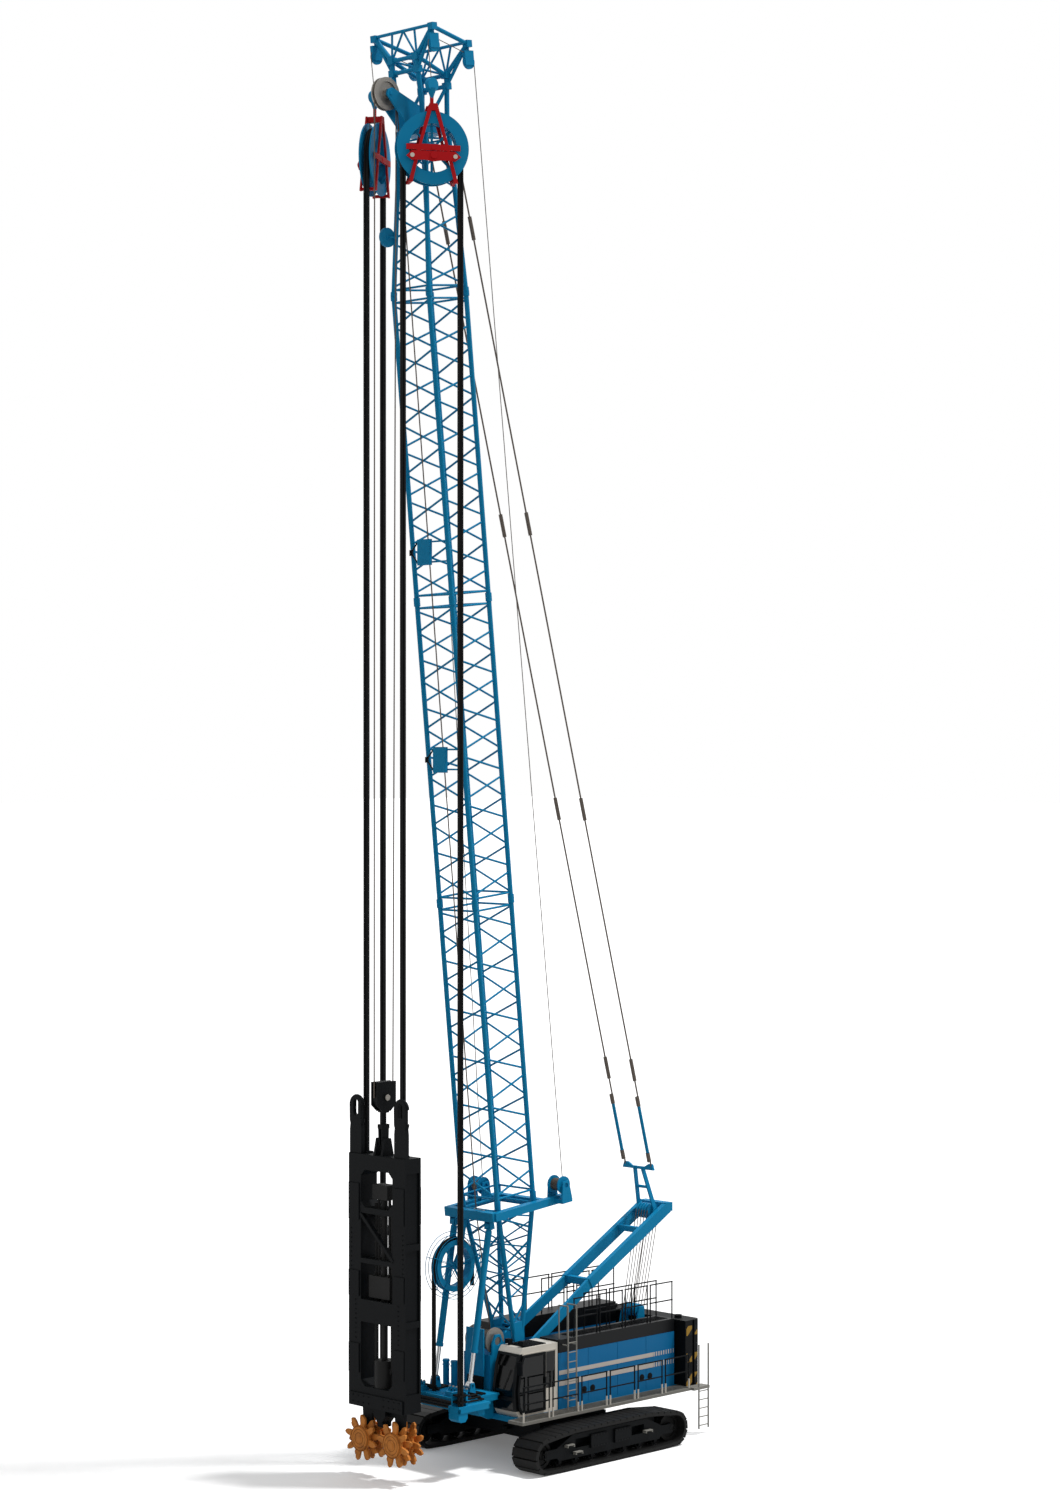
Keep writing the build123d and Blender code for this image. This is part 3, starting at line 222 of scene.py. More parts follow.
def cabEnamelTwoTone(pale, black, frontX, lowZ, highZ):
    # the cab's front posts are black between the sill and the roof edge, the rest is pale
    material, tree, shader = startMaterial("cabEnamelTwoTone")
    spot = surfaceSpot(tree)
    parts = addNode(tree, "ShaderNodeSeparateXYZ", {"Vector": spot})
    ahead = addNode(tree, "ShaderNodeMath", {0: parts.outputs["X"], 1: frontX}, operation="GREATER_THAN")
    above = addNode(tree, "ShaderNodeMath", {0: parts.outputs["Z"], 1: lowZ}, operation="GREATER_THAN")
    under = addNode(tree, "ShaderNodeMath", {0: parts.outputs["Z"], 1: highZ}, operation="LESS_THAN")
    level = addNode(tree, "ShaderNodeMath", {0: above.outputs["Value"], 1: under.outputs["Value"]},
                    operation="MULTIPLY")
    inside = addNode(tree, "ShaderNodeMath", {0: ahead.outputs["Value"], 1: level.outputs["Value"]},
                     operation="MULTIPLY")
    mix = addNode(tree, "ShaderNodeMix", {"Factor": inside.outputs["Value"]}, data_type="RGBA")
    mix.inputs[7].default_value = hexToLinear(black)
    tree.links.new(dustyColour(tree, spot, pale, "#B9B2A6", 900, 0.25), mix.inputs[6])
    tree.links.new(mix.outputs[2], shader.inputs["Base Color"])
    setShader(shader, {"Roughness": 0.4, "IOR": 1.5, "Specular IOR Level": 0.15})
    return material


def hazardEnamel(yellow, black, stripeMm):
    # slanted warning stripes, painted on flat plates
    material, tree, shader = startMaterial("hazardEnamel")
    spot = surfaceSpot(tree)
    parts = addNode(tree, "ShaderNodeSeparateXYZ", {"Vector": spot})
    flat = addNode(tree, "ShaderNodeMath", {0: parts.outputs["X"], 1: parts.outputs["Y"]}, operation="ADD")
    slant = addNode(tree, "ShaderNodeMath", {0: flat.outputs["Value"], 1: parts.outputs["Z"]},
                    operation="ADD")
    pitch = addNode(tree, "ShaderNodeMath", {0: slant.outputs["Value"], 1: stripeMm / 500},
                    operation="PINGPONG")
    half = addNode(tree, "ShaderNodeMath", {0: pitch.outputs["Value"], 1: stripeMm / 1000},
                   operation="GREATER_THAN")
    mix = addNode(tree, "ShaderNodeMix", {"Factor": half.outputs["Value"]}, data_type="RGBA")
    mix.inputs[6].default_value = hexToLinear(yellow)
    mix.inputs[7].default_value = hexToLinear(black)
    tree.links.new(mix.outputs[2], shader.inputs["Base Color"])
    setShader(shader, {"Roughness": 0.55, "Specular IOR Level": 0.12})
    return material


def bareSteel(name, colour, roughness, grainMm, metal=0.7):
    # worn or greased steel: dull metal with a fine uneven face
    material, tree, shader = startMaterial(name)
    spot = surfaceSpot(tree)
    setShader(shader, {"Base Color": hexToLinear(colour), "Metallic": metal,
                       "Specular IOR Level": 0.15, "Roughness": roughness})
    addGrain(tree, shader, spot, grainMm, 0.25)
    return material


def hoseRubber():
    # extruded rubber cover: black, matt, a little grey from handling
    material, tree, shader = startMaterial("hoseRubber")
    spot = surfaceSpot(tree)
    tree.links.new(dustyColour(tree, spot, "#0B0C0D", "#1C1D1E", 700, 0.5), shader.inputs["Base Color"])
    setShader(shader, {"Roughness": 0.62, "IOR": 1.52, "Specular IOR Level": 0.1})
    return material


def tintedGlass():
    # laminated cab glass with a dark tint
    material, _, shader = startMaterial("tintedGlass")
    setShader(shader, {"Base Color": hexToLinear("#060809"), "Roughness": 0.06, "IOR": 1.52,
                       "Specular IOR Level": 0.2, "Alpha": 0.97})
    return material


def seatCloth():
    # woven seat cloth, threads drawn at 6 mm so that they show
    material, tree, shader = startMaterial("seatCloth")
    spot = surfaceSpot(tree)
    setShader(shader, {"Base Color": hexToLinear("#26282B"), "Roughness": 0.9})
    addGrain(tree, shader, spot, 6, 0.4)
    return material


# the drums' second colour is both their worn paint and the base of their painted shade in the grooves
paint = {
    "blue": "#0880B0", "blueDust": "#2E94B6", "houseBlue": "#08689C", "black": "#0C0E10",
    "blackDust": "#141618", "red": "#B8141A", "drum": "#CC8038", "drumWearAndShade": "#945A26",
    "cab": "#D3CDC2", "cabDust": "#B9B2A6", "stripe": "#C2B9B1", "grey": "#8A8882",
    "yellow": "#9C7A32", "deck": "#7A7872", "bandEdge": 2.982, "postX": 2.34, "postZ": (1.57, 3.15),
    "hazardMm": 130,
}
blueEnamel = enamelPaint("blueEnamel", paint["blue"], paint["blueDust"], 0.5, shine=0.1)
blackEnamel = enamelPaint("blackEnamel", paint["black"], paint["blackDust"], 0.5, shine=0.06)
redEnamel = enamelPaint("redEnamel", paint["red"], "#8C2A28", 0.55, shine=0.1)
drumEnamel = enamelPaint("drumEnamel", paint["drum"], paint["drumWearAndShade"], 0.55, 160, 0.8)
# drumShade: drum paint darkened as painted shade, for the thin rings that stand for the grooves on the drum
# faces
drumShade = enamelPaint("drumShade", paint["drumWearAndShade"], "#6B3F1C", 0.65, 160, 0.8, shine=0.1)
cabEnamel = enamelPaint("cabEnamel", paint["cab"], paint["cabDust"], 0.4)
cabShellPaint = cabEnamelTwoTone(paint["cab"], paint["black"], slewX + paint["postX"], *paint["postZ"])
stripeEnamel = enamelPaint("stripeEnamel", paint["stripe"], paint["cabDust"], 0.45)
greyEnamel = enamelPaint("greyEnamel", paint["grey"], "#6E6C67", 0.5)
deckEnamel = enamelPaint("deckEnamel", paint["deck"], "#8C8A84", 0.6)
housePaint = houseEnamel(paint["houseBlue"], paint["black"], paint["bandEdge"])
hazardPaint = hazardEnamel(paint["yellow"], paint["black"], paint["hazardMm"])
trackSteel = bareSteel("trackSteel", "#161616", 0.6, 40, 0.1)
ropeSteel = bareSteel("ropeSteel", "#57504A", 0.5, 12)
sheaveSteel = bareSteel("sheaveSteel", "#8E8A84", 0.45, 30)
chromeRod = bareSteel("chromeRod", "#C9CBCC", 0.16, 60)
rubber = hoseRubber()
glass = tintedGlass()
cloth = seatCloth()
print("materials made")

nodeFinish = {
    "carbody": blackEnamel, "crawler_frame_left": blackEnamel, "crawler_frame_right": blackEnamel,
    "track_left": trackSteel, "track_right": trackSteel, "track_end_wheels": trackSteel,
    "counterweight": blackEnamel, "house_left": housePaint,
    "house_right": housePaint, "engine_block": trackSteel, "cab_shell": cabShellPaint, "cab_glass": glass,
    "cab_seat": cloth, "cab_door": blackEnamel, "cab_door_glass": glass, "walkways": deckEnamel,
    "handrails": blackEnamel, "roof_rails": blackEnamel, "ladders": greyEnamel,
    "main_winch_drum": sheaveSteel, "head_sheave": sheaveSteel, "pendants": ropeSteel,
    "strut_rods": chromeRod, "wheel_hangers": redEnamel, "hook_block": blackEnamel,
    "cutter_frame": blackEnamel, "cutter_pump": trackSteel, "cutter_gearbox": blackEnamel,
    "cutting_drum_left": drumEnamel, "cutting_drum_right": drumEnamel,
}
for node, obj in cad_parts.items():  # all other nodes are blue
    obj.data.materials.clear()
    obj.data.materials.append(nodeFinish.get(node, blueEnamel))
print("frame painted")


# Geometry Nodes: one tree for each thing that repeats or follows a path

alongX = (0, math.pi / 2, 0)
alongY = (math.pi / 2, 0, 0)
alongZ = (0, 0, 0)


def startTree(name, sockets):
    tree = bpy.data.node_groups.new(name, "GeometryNodeTree")
    for label, kind in sockets:
        tree.interface.new_socket(label, in_out="INPUT", socket_type="NodeSocket" + kind)
    tree.interface.new_socket("Geometry", in_out="OUTPUT", socket_type="NodeSocketGeometry")
    return tree, addNode(tree, "NodeGroupInput").outputs


def endTree(tree, geometry, material):
    whole = addNode(tree, "GeometryNodeRealizeInstances", {"Geometry": geometry})
    done = addNode(tree, "GeometryNodeSetMaterial", {
        "Geometry": whole.outputs["Geometry"], "Material": material})
    addNode(tree, "NodeGroupOutput", {"Geometry": done.outputs["Geometry"]})
    return tree


def makeBoltTree():
    tree, given = startTree("boltsOnPoints", (
        ("Geometry", "Geometry"), ("Radius", "Float"), ("Height", "Float"), ("Turn", "Vector"),
        ("Material", "Material")))
    bolt = addNode(tree, "GeometryNodeMeshCylinder", {
        "Vertices": 6, "Radius": given["Radius"], "Depth": given["Height"]})
    copies = addNode(tree, "GeometryNodeInstanceOnPoints", {
        "Points": given["Geometry"], "Instance": bolt.outputs["Mesh"], "Rotation": given["Turn"]})
    return endTree(tree, copies.outputs["Instances"], given["Material"])


def makeSlatTree():
    tree, given = startTree("slatsInRow", (
        ("Count", "Int"), ("Start", "Vector"), ("Step", "Vector"), ("Size", "Vector"),
        ("Material", "Material")))
    row = addNode(tree, "GeometryNodeMeshLine", {
        "Count": given["Count"], "Start Location": given["Start"], "Offset": given["Step"]})
    slat = addNode(tree, "GeometryNodeMeshCube", {"Size": given["Size"]})
    copies = addNode(tree, "GeometryNodeInstanceOnPoints", {
        "Points": row.outputs["Mesh"], "Instance": slat.outputs["Mesh"]})
    return endTree(tree, copies.outputs["Instances"], given["Material"])


def makeTubeTree():
    tree, given = startTree("tubeOnPath", (
        ("Geometry", "Geometry"), ("Radius", "Float"), ("Sides", "Int"), ("Material", "Material")))
    path = addNode(tree, "GeometryNodeMeshToCurve", {"Mesh": given["Geometry"]})
    ring = addNode(tree, "GeometryNodeCurvePrimitiveCircle", {
        "Resolution": given["Sides"], "Radius": given["Radius"]})
    tube = addNode(tree, "GeometryNodeCurveToMesh", {
        "Curve": path.outputs["Curve"], "Profile Curve": ring.outputs["Curve"], "Fill Caps": True})
    return endTree(tree, tube.outputs["Mesh"], given["Material"])


def makeWrapTree():
    tree, given = startTree("ropeOnDrum", (
        ("Count", "Int"), ("Start", "Vector"), ("Step", "Vector"), ("Drum", "Float"), ("Rope", "Float"),
        ("Material", "Material")))
    row = addNode(tree, "GeometryNodeMeshLine", {
        "Count": given["Count"], "Start Location": given["Start"], "Offset": given["Step"]})
    lap = addNode(tree, "GeometryNodeCurvePrimitiveCircle", {"Resolution": 36, "Radius": given["Drum"]})
    strand = addNode(tree, "GeometryNodeCurvePrimitiveCircle", {"Resolution": 8, "Radius": given["Rope"]})
    turn = addNode(tree, "GeometryNodeCurveToMesh", {
        "Curve": lap.outputs["Curve"], "Profile Curve": strand.outputs["Curve"]})
    copies = addNode(tree, "GeometryNodeInstanceOnPoints", {
        "Points": row.outputs["Mesh"], "Instance": turn.outputs["Mesh"], "Rotation": alongY})
    return endTree(tree, copies.outputs["Instances"], given["Material"])


boltTree = makeBoltTree()
slatTree = makeSlatTree()
tubeTree = makeTubeTree()
wrapTree = makeWrapTree()


def runTree(name, tree, values, body=None, seed=None):
    obj = linkObject(name, seed or bpy.data.meshes.new(name + "Seed"))
    modifier = obj.modifiers.new("nodes", "NODES")
    modifier.node_group = tree
    for item in tree.interface.items_tree:
        if item.in_out == "INPUT" and item.name in values:
            modifier[item.identifier] = values[item.name]
    bpy.context.view_layer.update()
    made = bpy.data.meshes.new_from_object(obj.evaluated_get(bpy.context.evaluated_depsgraph_get()))
    obj.modifiers.remove(modifier)
    obj.data = made
    smoothByAngle(made)
    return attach(obj, body) if body else obj


def pathMesh(name, paths, step):
    verts, edges = [], []
    for path in paths:
        first = True
        for a, b in zip(path, path[1:]):
            count = max(1, round((b - a).length / step))
            for k in range(0 if first else 1, count + 1):
                if len(verts) and not (first and k == 0):
                    edges.append((len(verts) - 1, len(verts)))
                verts.append(a.lerp(b, k / count))
            first = False
    mesh = bpy.data.meshes.new(name + "Seed")
    mesh.from_pydata([tuple(v) for v in verts], edges, [])
    return mesh


def tubes(name, paths, radius, material, body=None, step=1.0, sides=10):
    values = {"Radius": radius, "Sides": sides, "Material": material}
    return runTree(name, tubeTree, values, body, pathMesh(name, paths, step))


def bolts(name, points, size, turn, material, body):
    mesh = bpy.data.meshes.new(name + "Seed")
    mesh.from_pydata([tuple(p) for p in points], [], [])
    values = {"Radius": size[0], "Height": size[1], "Turn": turn, "Material": material}
    return runTree(name, boltTree, values, body, mesh)


# The boom's own axes: u forward across it, w along it from the foot pin
boom = {"footX": 1.33, "footZ": 2.90, "leanDeg": 5.93, "half": 0.71, "footLength": 4.42}
lean = math.radians(boom["leanDeg"])


def onBoom(u, v, w):
    x = boom["footX"] + u * math.cos(lean) + w * math.sin(lean)
    z = boom["footZ"] - u * math.sin(lean) + w * math.cos(lean)
    return at(x, v, z)


def toBoom(x, z):
    dx, dz = x - boom["footX"], z - boom["footZ"]
    return dx * math.cos(lean) - dz * math.sin(lean), dx * math.sin(lean) + dz * math.cos(lean)


# Hose bundles

hoseSet = {
    "radius": 0.0390, "sides": 16, "gap": 0.076, "cutterLeg": (6.12, 0.74), "platformLeg": (4.75, 1.57),
    "wheelZ": 36.4, "cutterTop": 8.912, "platformTop": 2.052, "legBelowWheel": 0.6, "splitZ": 30.0,
}


def wheelAxes(side):
    # across the wheel towards the cutter, and along its axle
    inX, inY = hoseSet["cutterLeg"]
    outX, outY = hoseSet["platformLeg"]
    across = Vector((inX - outX, side * (inY - outY), 0)).normalized()
    return across, Vector((across.y, -across.x, 0))


def hoseLanes(side):
    # two by two hoses: the offset along the axle, and how far out on the wheel
    axle = wheelAxes(side)[1]
    half = hoseSet["gap"] / 2
    return [(axle * k * half, r * half) for k in (-1, 1) for r in (-1, 1)]


def makeHoses():
    inX, inY = hoseSet["cutterLeg"]
    outX, outY = hoseSet["platformLeg"]
    wheelZ = hoseSet["wheelZ"]
    radius = math.hypot(inX - outX, inY - outY) / 2
    up = Vector((0, 0, 1))
    front, low, high = [], [], []
    for side in (1, -1):
        across = wheelAxes(side)[0]
        for shift, out in hoseLanes(side):
            cutterEnd = at(inX, side * inY, 0) + shift + across * out
            platformEnd = at(outX, side * outY, 0) + shift - across * out
            path = [cutterEnd + up * hoseSet["cutterTop"]]
            for turn in arcTurns(math.pi):
                spot = cutterEnd.lerp(platformEnd, (1 - math.cos(turn)) / 2)
                path.append(spot + up * (wheelZ + (radius + out) * math.sin(turn)))
            path.append(platformEnd + up * (wheelZ - hoseSet["legBelowWheel"]))
            front.append(path)
            split = platformEnd + up * hoseSet["splitZ"]
            low.append([platformEnd + up * hoseSet["platformTop"], split])
            high.append([split, platformEnd + up * (wheelZ - hoseSet["legBelowWheel"])])
    size, sides = hoseSet["radius"], hoseSet["sides"]
    frontHose = tubes("hosesToCutter", front, size, rubber, step=0.7, sides=sides)
    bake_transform(frontHose)
    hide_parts("hoses_front")
    lowHose = tubes("hosesRisingLow", low, size, rubber, step=0.7, sides=sides)
    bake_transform(lowHose)
    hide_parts("hoses_back")
    highHose = tubes("hosesRisingHigh", high, size, rubber, step=0.3, sides=sides)
    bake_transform(highHose)


makeHoses()

guideSet = {"x": 3.15, "y": -0.40, "z": 5.50, "path": 0.7425, "radius": 0.062, "dropped": 0.65,
            "guardRadius": 0.93, "guardWire": 0.010, "guardY": 0.150, "guardStep": 0.12, "hub": 0.05,
            "spokes": 5, "firstSpoke": 20}


def makeGuideHose():
    x, y, z, r = guideSet["x"], guideSet["y"], guideSet["z"], guideSet["path"]
    path = [at(x + r, y, hoseSet["platformTop"])]
    for turn in arcTurns(math.pi):
        dx, dz = onCircle(r, turn)
        path.append(at(x + dx, y, z + dz))
    path.append(at(x - r, y, z - guideSet["dropped"]))
    hose = tubes("guideWheelHose", [path], guideSet["radius"], rubber, step=0.25, sides=16)
    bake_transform(hose)
    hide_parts("guide_hose")


def makeGuideGuard():
    # wire guard rings beside the guide wheel, tied to its axle
    bm = bmesh.new()
    x, y, z = guideSet["x"], guideSet["y"], guideSet["z"]
    outer, wire = guideSet["guardRadius"], guideSet["guardWire"]
    for side in (-1, 1):
        ringY = y + side * guideSet["guardY"]
        for radius in (outer, outer - guideSet["guardStep"]):
            addRing(bm, at(x, ringY, z), Vector((0, 1, 0)), radius, wire)
        for k in range(guideSet["spokes"]):
            turn = math.radians(guideSet["firstSpoke"] + 360 / guideSet["spokes"] * k)
            ends = [onCircle(radius, turn) for radius in (guideSet["hub"], outer)]
            addRound(bm, *[at(x + dx, ringY, z + dz) for dx, dz in ends], wire, 8)
    finishPiece("guideWheelGuard", bm, blueEnamel, "boom")


makeGuideHose()
makeGuideGuard()
print("hoses made")


# Ropes

ropeSet = {
    "fall": 0.018, "aux": 0.012, "luff": 0.012, "headX": 6.09, "headZ": 37.97, "groove": 0.40,
    "hookX": 6.16, "hookZ": 10.50, "hookGroove": 0.345, "gantry": (-4.45, 6.30, 0.242),
    "rearBlock": (-3.83, 3.44, 0.202), "luffY": (-0.22, -0.11, 0.0, 0.11, 0.22),
}


def makeHoistFalls():
    paths = []
    for sign in (-1, 1):
        top = at(ropeSet["headX"] + sign * ropeSet["groove"], 0, ropeSet["headZ"])
        low = at(ropeSet["hookX"] + sign * ropeSet["hookGroove"], 0, ropeSet["hookZ"])
        paths.append([top, low])
    falls = tubes("hoistFalls", paths, ropeSet["fall"], ropeSteel, step=1.4, sides=8)
    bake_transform(falls)


def makeLuffRopes():
    # the reeving between the gantry's sheaves and the block at the rear of the deck
    gx, gz, gr = ropeSet["gantry"]
    bx, bz, br = ropeSet["rearBlock"]
    slope = math.atan2(bz - gz, bx - gx)
    out = Vector((-math.sin(slope), 0, math.cos(slope)))
    paths = []
    for y in ropeSet["luffY"]:
        for sign in (-1, 1):
            paths.append([at(gx, y, gz) + out * gr * sign, at(bx, y, bz) + out * br * sign])
    ropes = tubes("luffingRopes", paths, ropeSet["luff"], ropeSteel, step=0.4, sides=6)
    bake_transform(ropes)


mainRope = {"drumX": 2.05, "drumZ": 3.40, "rollerU": 0.800, "rollerW": 4.225, "rollerRadius": 0.05,
            "rollerHalf": 0.15, "armV": 0.17, "arm": 0.03}


def makeMainRope():
    # from the drum over a roller on the boom foot, then along the boom to the head sheave
    rollerU, rollerW = mainRope["rollerU"], mainRope["rollerW"]
    bend = onBoom(rollerU + mainRope["rollerRadius"] + ropeSet["fall"], 0, rollerW)
    headU, headW = toBoom(ropeSet["headX"], ropeSet["headZ"])
    top = onBoom(headU - ropeSet["groove"], 0, headW)
    drum = at(mainRope["drumX"], 0, mainRope["drumZ"])
    size = ropeSet["fall"]
    rise = tubes("mainRopeRise", [[drum, bend]], size, ropeSteel, step=0.3, sides=8)
    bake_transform(rise)
    tubes("mainRopeRun", [[bend, top]], size, ropeSteel, "boom", 4.0, 8)
    bm = bmesh.new()
    half, arm = mainRope["rollerHalf"], mainRope["arm"]
    addRound(bm, onBoom(rollerU, -half, rollerW), onBoom(rollerU, half, rollerW), mainRope["rollerRadius"])
    for v in (-mainRope["armV"], mainRope["armV"]):
        addRound(bm, onBoom(boom["half"], v, rollerW), onBoom(rollerU + arm, v, rollerW), arm, 12)
    finishPiece("mainRopeRoller", bm, sheaveSteel, "boom")


auxSet = {
    "tips": ((4.05, 1.10, 39.60), (5.43, 1.16, 39.86)), "pulleyBelow": 0.60, "pulley": 0.205,
    "drumU": {1: -1.42, -1: -0.30}, "drumW": 4.63, "drumRadius": 0.165, "drumV": 1.06,
    "hangerX": 5.435, "hangerY": 1.155, "hangerTop": 37.81, "blockZ": 38.15, "blockRadius": 0.19,
    "blockHalf": 0.07, "shank": (0.13, 0.035),
}


def makeAuxRopes():
    runs, drops = [], []
    rearU, rearW = toBoom(auxSet["tips"][0][0], auxSet["tips"][0][2])
    frontU, frontW = toBoom(auxSet["tips"][1][0], auxSet["tips"][1][2])
    rearW -= auxSet["pulleyBelow"]
    frontW -= auxSet["pulleyBelow"]
    pulley = auxSet["pulley"]
    bm = bmesh.new()
    for side in (1, -1):
        rearV = side * auxSet["tips"][0][1]
        frontV = side * auxSet["tips"][1][1]
        drumU = auxSet["drumU"][side] - auxSet["drumRadius"]
        path = [onBoom(drumU, side * auxSet["drumV"], auxSet["drumW"])]
        for k in range(7):
            turn = math.pi * (1 - k / 12)
            du, dw = onCircle(pulley, turn)
            path.append(onBoom(rearU + du, rearV, rearW + dw))
        for k in range(7):
            turn = math.pi / 2 * (1 - k / 6)
            du, dw = onCircle(pulley, turn)
            path.append(onBoom(frontU + du, frontV, frontW + dw))
        runs.append(path)
        block = at(auxSet["hangerX"], side * auxSet["hangerY"], auxSet["blockZ"])
        drops.append([path[-1], block])
        # the small drop block between the rope and the red hanger
        y = Vector((0, auxSet["blockHalf"], 0))
        addRound(bm, block - y, block + y, auxSet["blockRadius"], 28)
        hanger = Vector((block.x, block.y, auxSet["hangerTop"] - 0.04))
        wide, narrow = auxSet["shank"]
        addRound(bm, block - Vector((0, 0, 0.1)), hanger, wide, 16, narrow)
    tubes("auxRopeRuns", runs, ropeSet["aux"], ropeSteel, "boom", 6.0, 6)
    drop = tubes("auxRopeDrops", drops, ropeSet["aux"], ropeSteel, step=0.1, sides=6)
    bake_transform(drop)
    finishPiece("hangerDropBlocks", bm, blueEnamel, "hanging_train")


makeHoistFalls()
makeLuffRopes()
makeMainRope()
makeAuxRopes()

wrapSet = {"mainX": 2.31, "mainZ": 3.38, "mainHalf": 0.37, "mainDrum": 0.255,
           "auxDrum": 0.161, "auxInner": 0.905, "auxOuter": 1.215}


def makeRopeWraps():
    pitch = 2 * ropeSet["fall"]
    count = int(2 * wrapSet["mainHalf"] / pitch)
    values = {"Count": count, "Start": at(wrapSet["mainX"], -pitch * (count - 1) / 2, wrapSet["mainZ"]),
              "Step": (0, pitch, 0), "Drum": wrapSet["mainDrum"], "Rope": ropeSet["fall"],
              "Material": ropeSteel}
    runTree("mainDrumRope", wrapTree, values, "main_winch")
    pitch = 2 * ropeSet["aux"]
    count = int((wrapSet["auxOuter"] - wrapSet["auxInner"]) / pitch)
    for side, body in ((1, "winch_left"), (-1, "winch_right")):
        start = onBoom(auxSet["drumU"][side], side * wrapSet["auxInner"], auxSet["drumW"])
        values = {"Count": count, "Start": start,
                  "Step": (0, side * pitch, 0), "Drum": wrapSet["auxDrum"], "Rope": ropeSet["aux"],
                  "Material": ropeSteel}
        runTree(body + "Rope", wrapTree, values, body)


makeRopeWraps()
print("ropes made")


# House, counterweight and walkways

houseSet = {
    "side": 1.55, "front": 0.90, "rear": -3.93, "proud": 0.004, "stripes": ((2.05, 2.20), (2.36, 2.48)),
    "solidTo": -3.02, "bars": 9, "barAt": 0.75, "barWide": 0.62, "barLoss": 0.045,
    "latchXs": (-0.31, -2.71), "latchZ": 1.815, "latchSpread": 0.17,
    "latch": 0.095, "latchDeep": 0.014, "gripHalf": (0.055, 0.012, 0.018),
}


def makeStripes():
    bm = bmesh.new()
    for side in (-1, 1):
        face = side * houseSet["side"]
        y0, y1 = sorted((face - side * sink, face + side * houseSet["proud"]))
        for low, high in houseSet["stripes"]:
            addBox(bm, at(houseSet["solidTo"], y0, low), at(houseSet["front"] - 0.02, y1, high))
            pitch = (houseSet["solidTo"] - houseSet["rear"]) / houseSet["bars"]
            for k in range(houseSet["bars"]):
                x = houseSet["solidTo"] - (k + houseSet["barAt"]) * pitch
                wide = pitch * (houseSet["barWide"] - houseSet["barLoss"] * k)
                addBox(bm, at(x, y0, low), at(x + wide, y1, high))
    finishPiece("houseStripes", bm, stripeEnamel, "upper")


def makeLatches():
    bm = bmesh.new()
    half = Vector(houseSet["gripHalf"])
    for side in (-1, 1):
        face = side * houseSet["side"]
        for x in houseSet["latchXs"]:
            for off in (-1, 1):
                spot = at(x + off * houseSet["latchSpread"], face, houseSet["latchZ"])
                grip = spot + Vector((0, side * houseSet["latchDeep"], 0))
                addRound(bm, spot, grip, houseSet["latch"], 24)
                addBox(bm, grip - half, grip + half)
    finishPiece("houseLatches", bm, blackEnamel, "upper")


counterSet = {"side": 1.90, "rear": -4.70, "proud": 0.004,
              "rows": ((1.30, 1.76), (2.08, 2.34), (2.86, 3.14)),
              "sidePanels": ((-4.56, -4.44), (-4.32, -4.08)), "rearPanels": ((-1.70, -1.0), (1.0, 1.70))}


def makeHazardPanels():
    bm = bmesh.new()
    thin = counterSet["proud"]
    for low, high in counterSet["rows"]:
        for side in (-1, 1):
            face = side * counterSet["side"]
            y0, y1 = sorted((face - side * sink, face + side * thin))
            for x0, x1 in counterSet["sidePanels"]:
                addBox(bm, at(x0, y0, low), at(x1, y1, high))
        for y0, y1 in counterSet["rearPanels"]:
            addBox(bm, at(counterSet["rear"] - thin, y0, low), at(counterSet["rear"] + sink, y1, high))
    finishPiece("hazardPanels", bm, hazardPaint, "upper")


gratingSet = {"pitch": 0.05, "thick": 0.012, "high": 0.012, "walkTop": 1.39, "walk": (1.57, 2.06),
              "leftEnd": 2.88, "rightEnd": 1.18, "rear": -4.02, "roofTop": 3.35, "roofY": (0.88, 1.46),
              "roofX": (-3.8, 0.3), "roofInset": 0.06}


def slatRow(name, x0, x1, y0, y1, top, material):
    count = int((x1 - x0) / gratingSet["pitch"])
    high = gratingSet["high"]
    values = {"Count": count, "Start": at(x0, (y0 + y1) / 2, top + high / 2 - 0.001),
              "Step": (gratingSet["pitch"], 0, 0), "Size": (gratingSet["thick"], y1 - y0, high),
              "Material": material}
    runTree(name, slatTree, values, "upper")


def makeGratings():
    low, high = gratingSet["walk"]
    rear, top = gratingSet["rear"], gratingSet["walkTop"]
    slatRow("walkwayGratingLeft", rear, gratingSet["leftEnd"], low, high, top, deckEnamel)
    slatRow("walkwayGratingRight", rear, gratingSet["rightEnd"], -high, -low, top, deckEnamel)
    x0, x1 = gratingSet["roofX"]
    y0, y1 = gratingSet["roofY"]
    inset, top = gratingSet["roofInset"], gratingSet["roofTop"]
    slatRow("roofGrating", x0, x1, y0 + inset, y1 - inset, top, blackEnamel)


railSet = {"first": -3.98, "span": 1.01, "pitch": 1.16, "y": 2.09, "sleeveTop": 1.66, "sleeve": 0.027}


def makeRailSleeves():
    # pale sockets that hold the rail posts
    bm = bmesh.new()
    for side, count in ((1, 6), (-1, 4)):
        for i in range(count):
            post = railSet["first"] + i * railSet["pitch"]
            for x in (post, post + railSet["span"]):
                addRound(bm, at(x, side * railSet["y"], gratingSet["walkTop"]),
                         at(x, side * railSet["y"], railSet["sleeveTop"]), railSet["sleeve"], 12)
    finishPiece("railSockets", bm, cabEnamel, "upper")


makeStripes()
makeLatches()
makeHazardPanels()
makeGratings()
makeRailSleeves()
print("house dressed")


# Cab

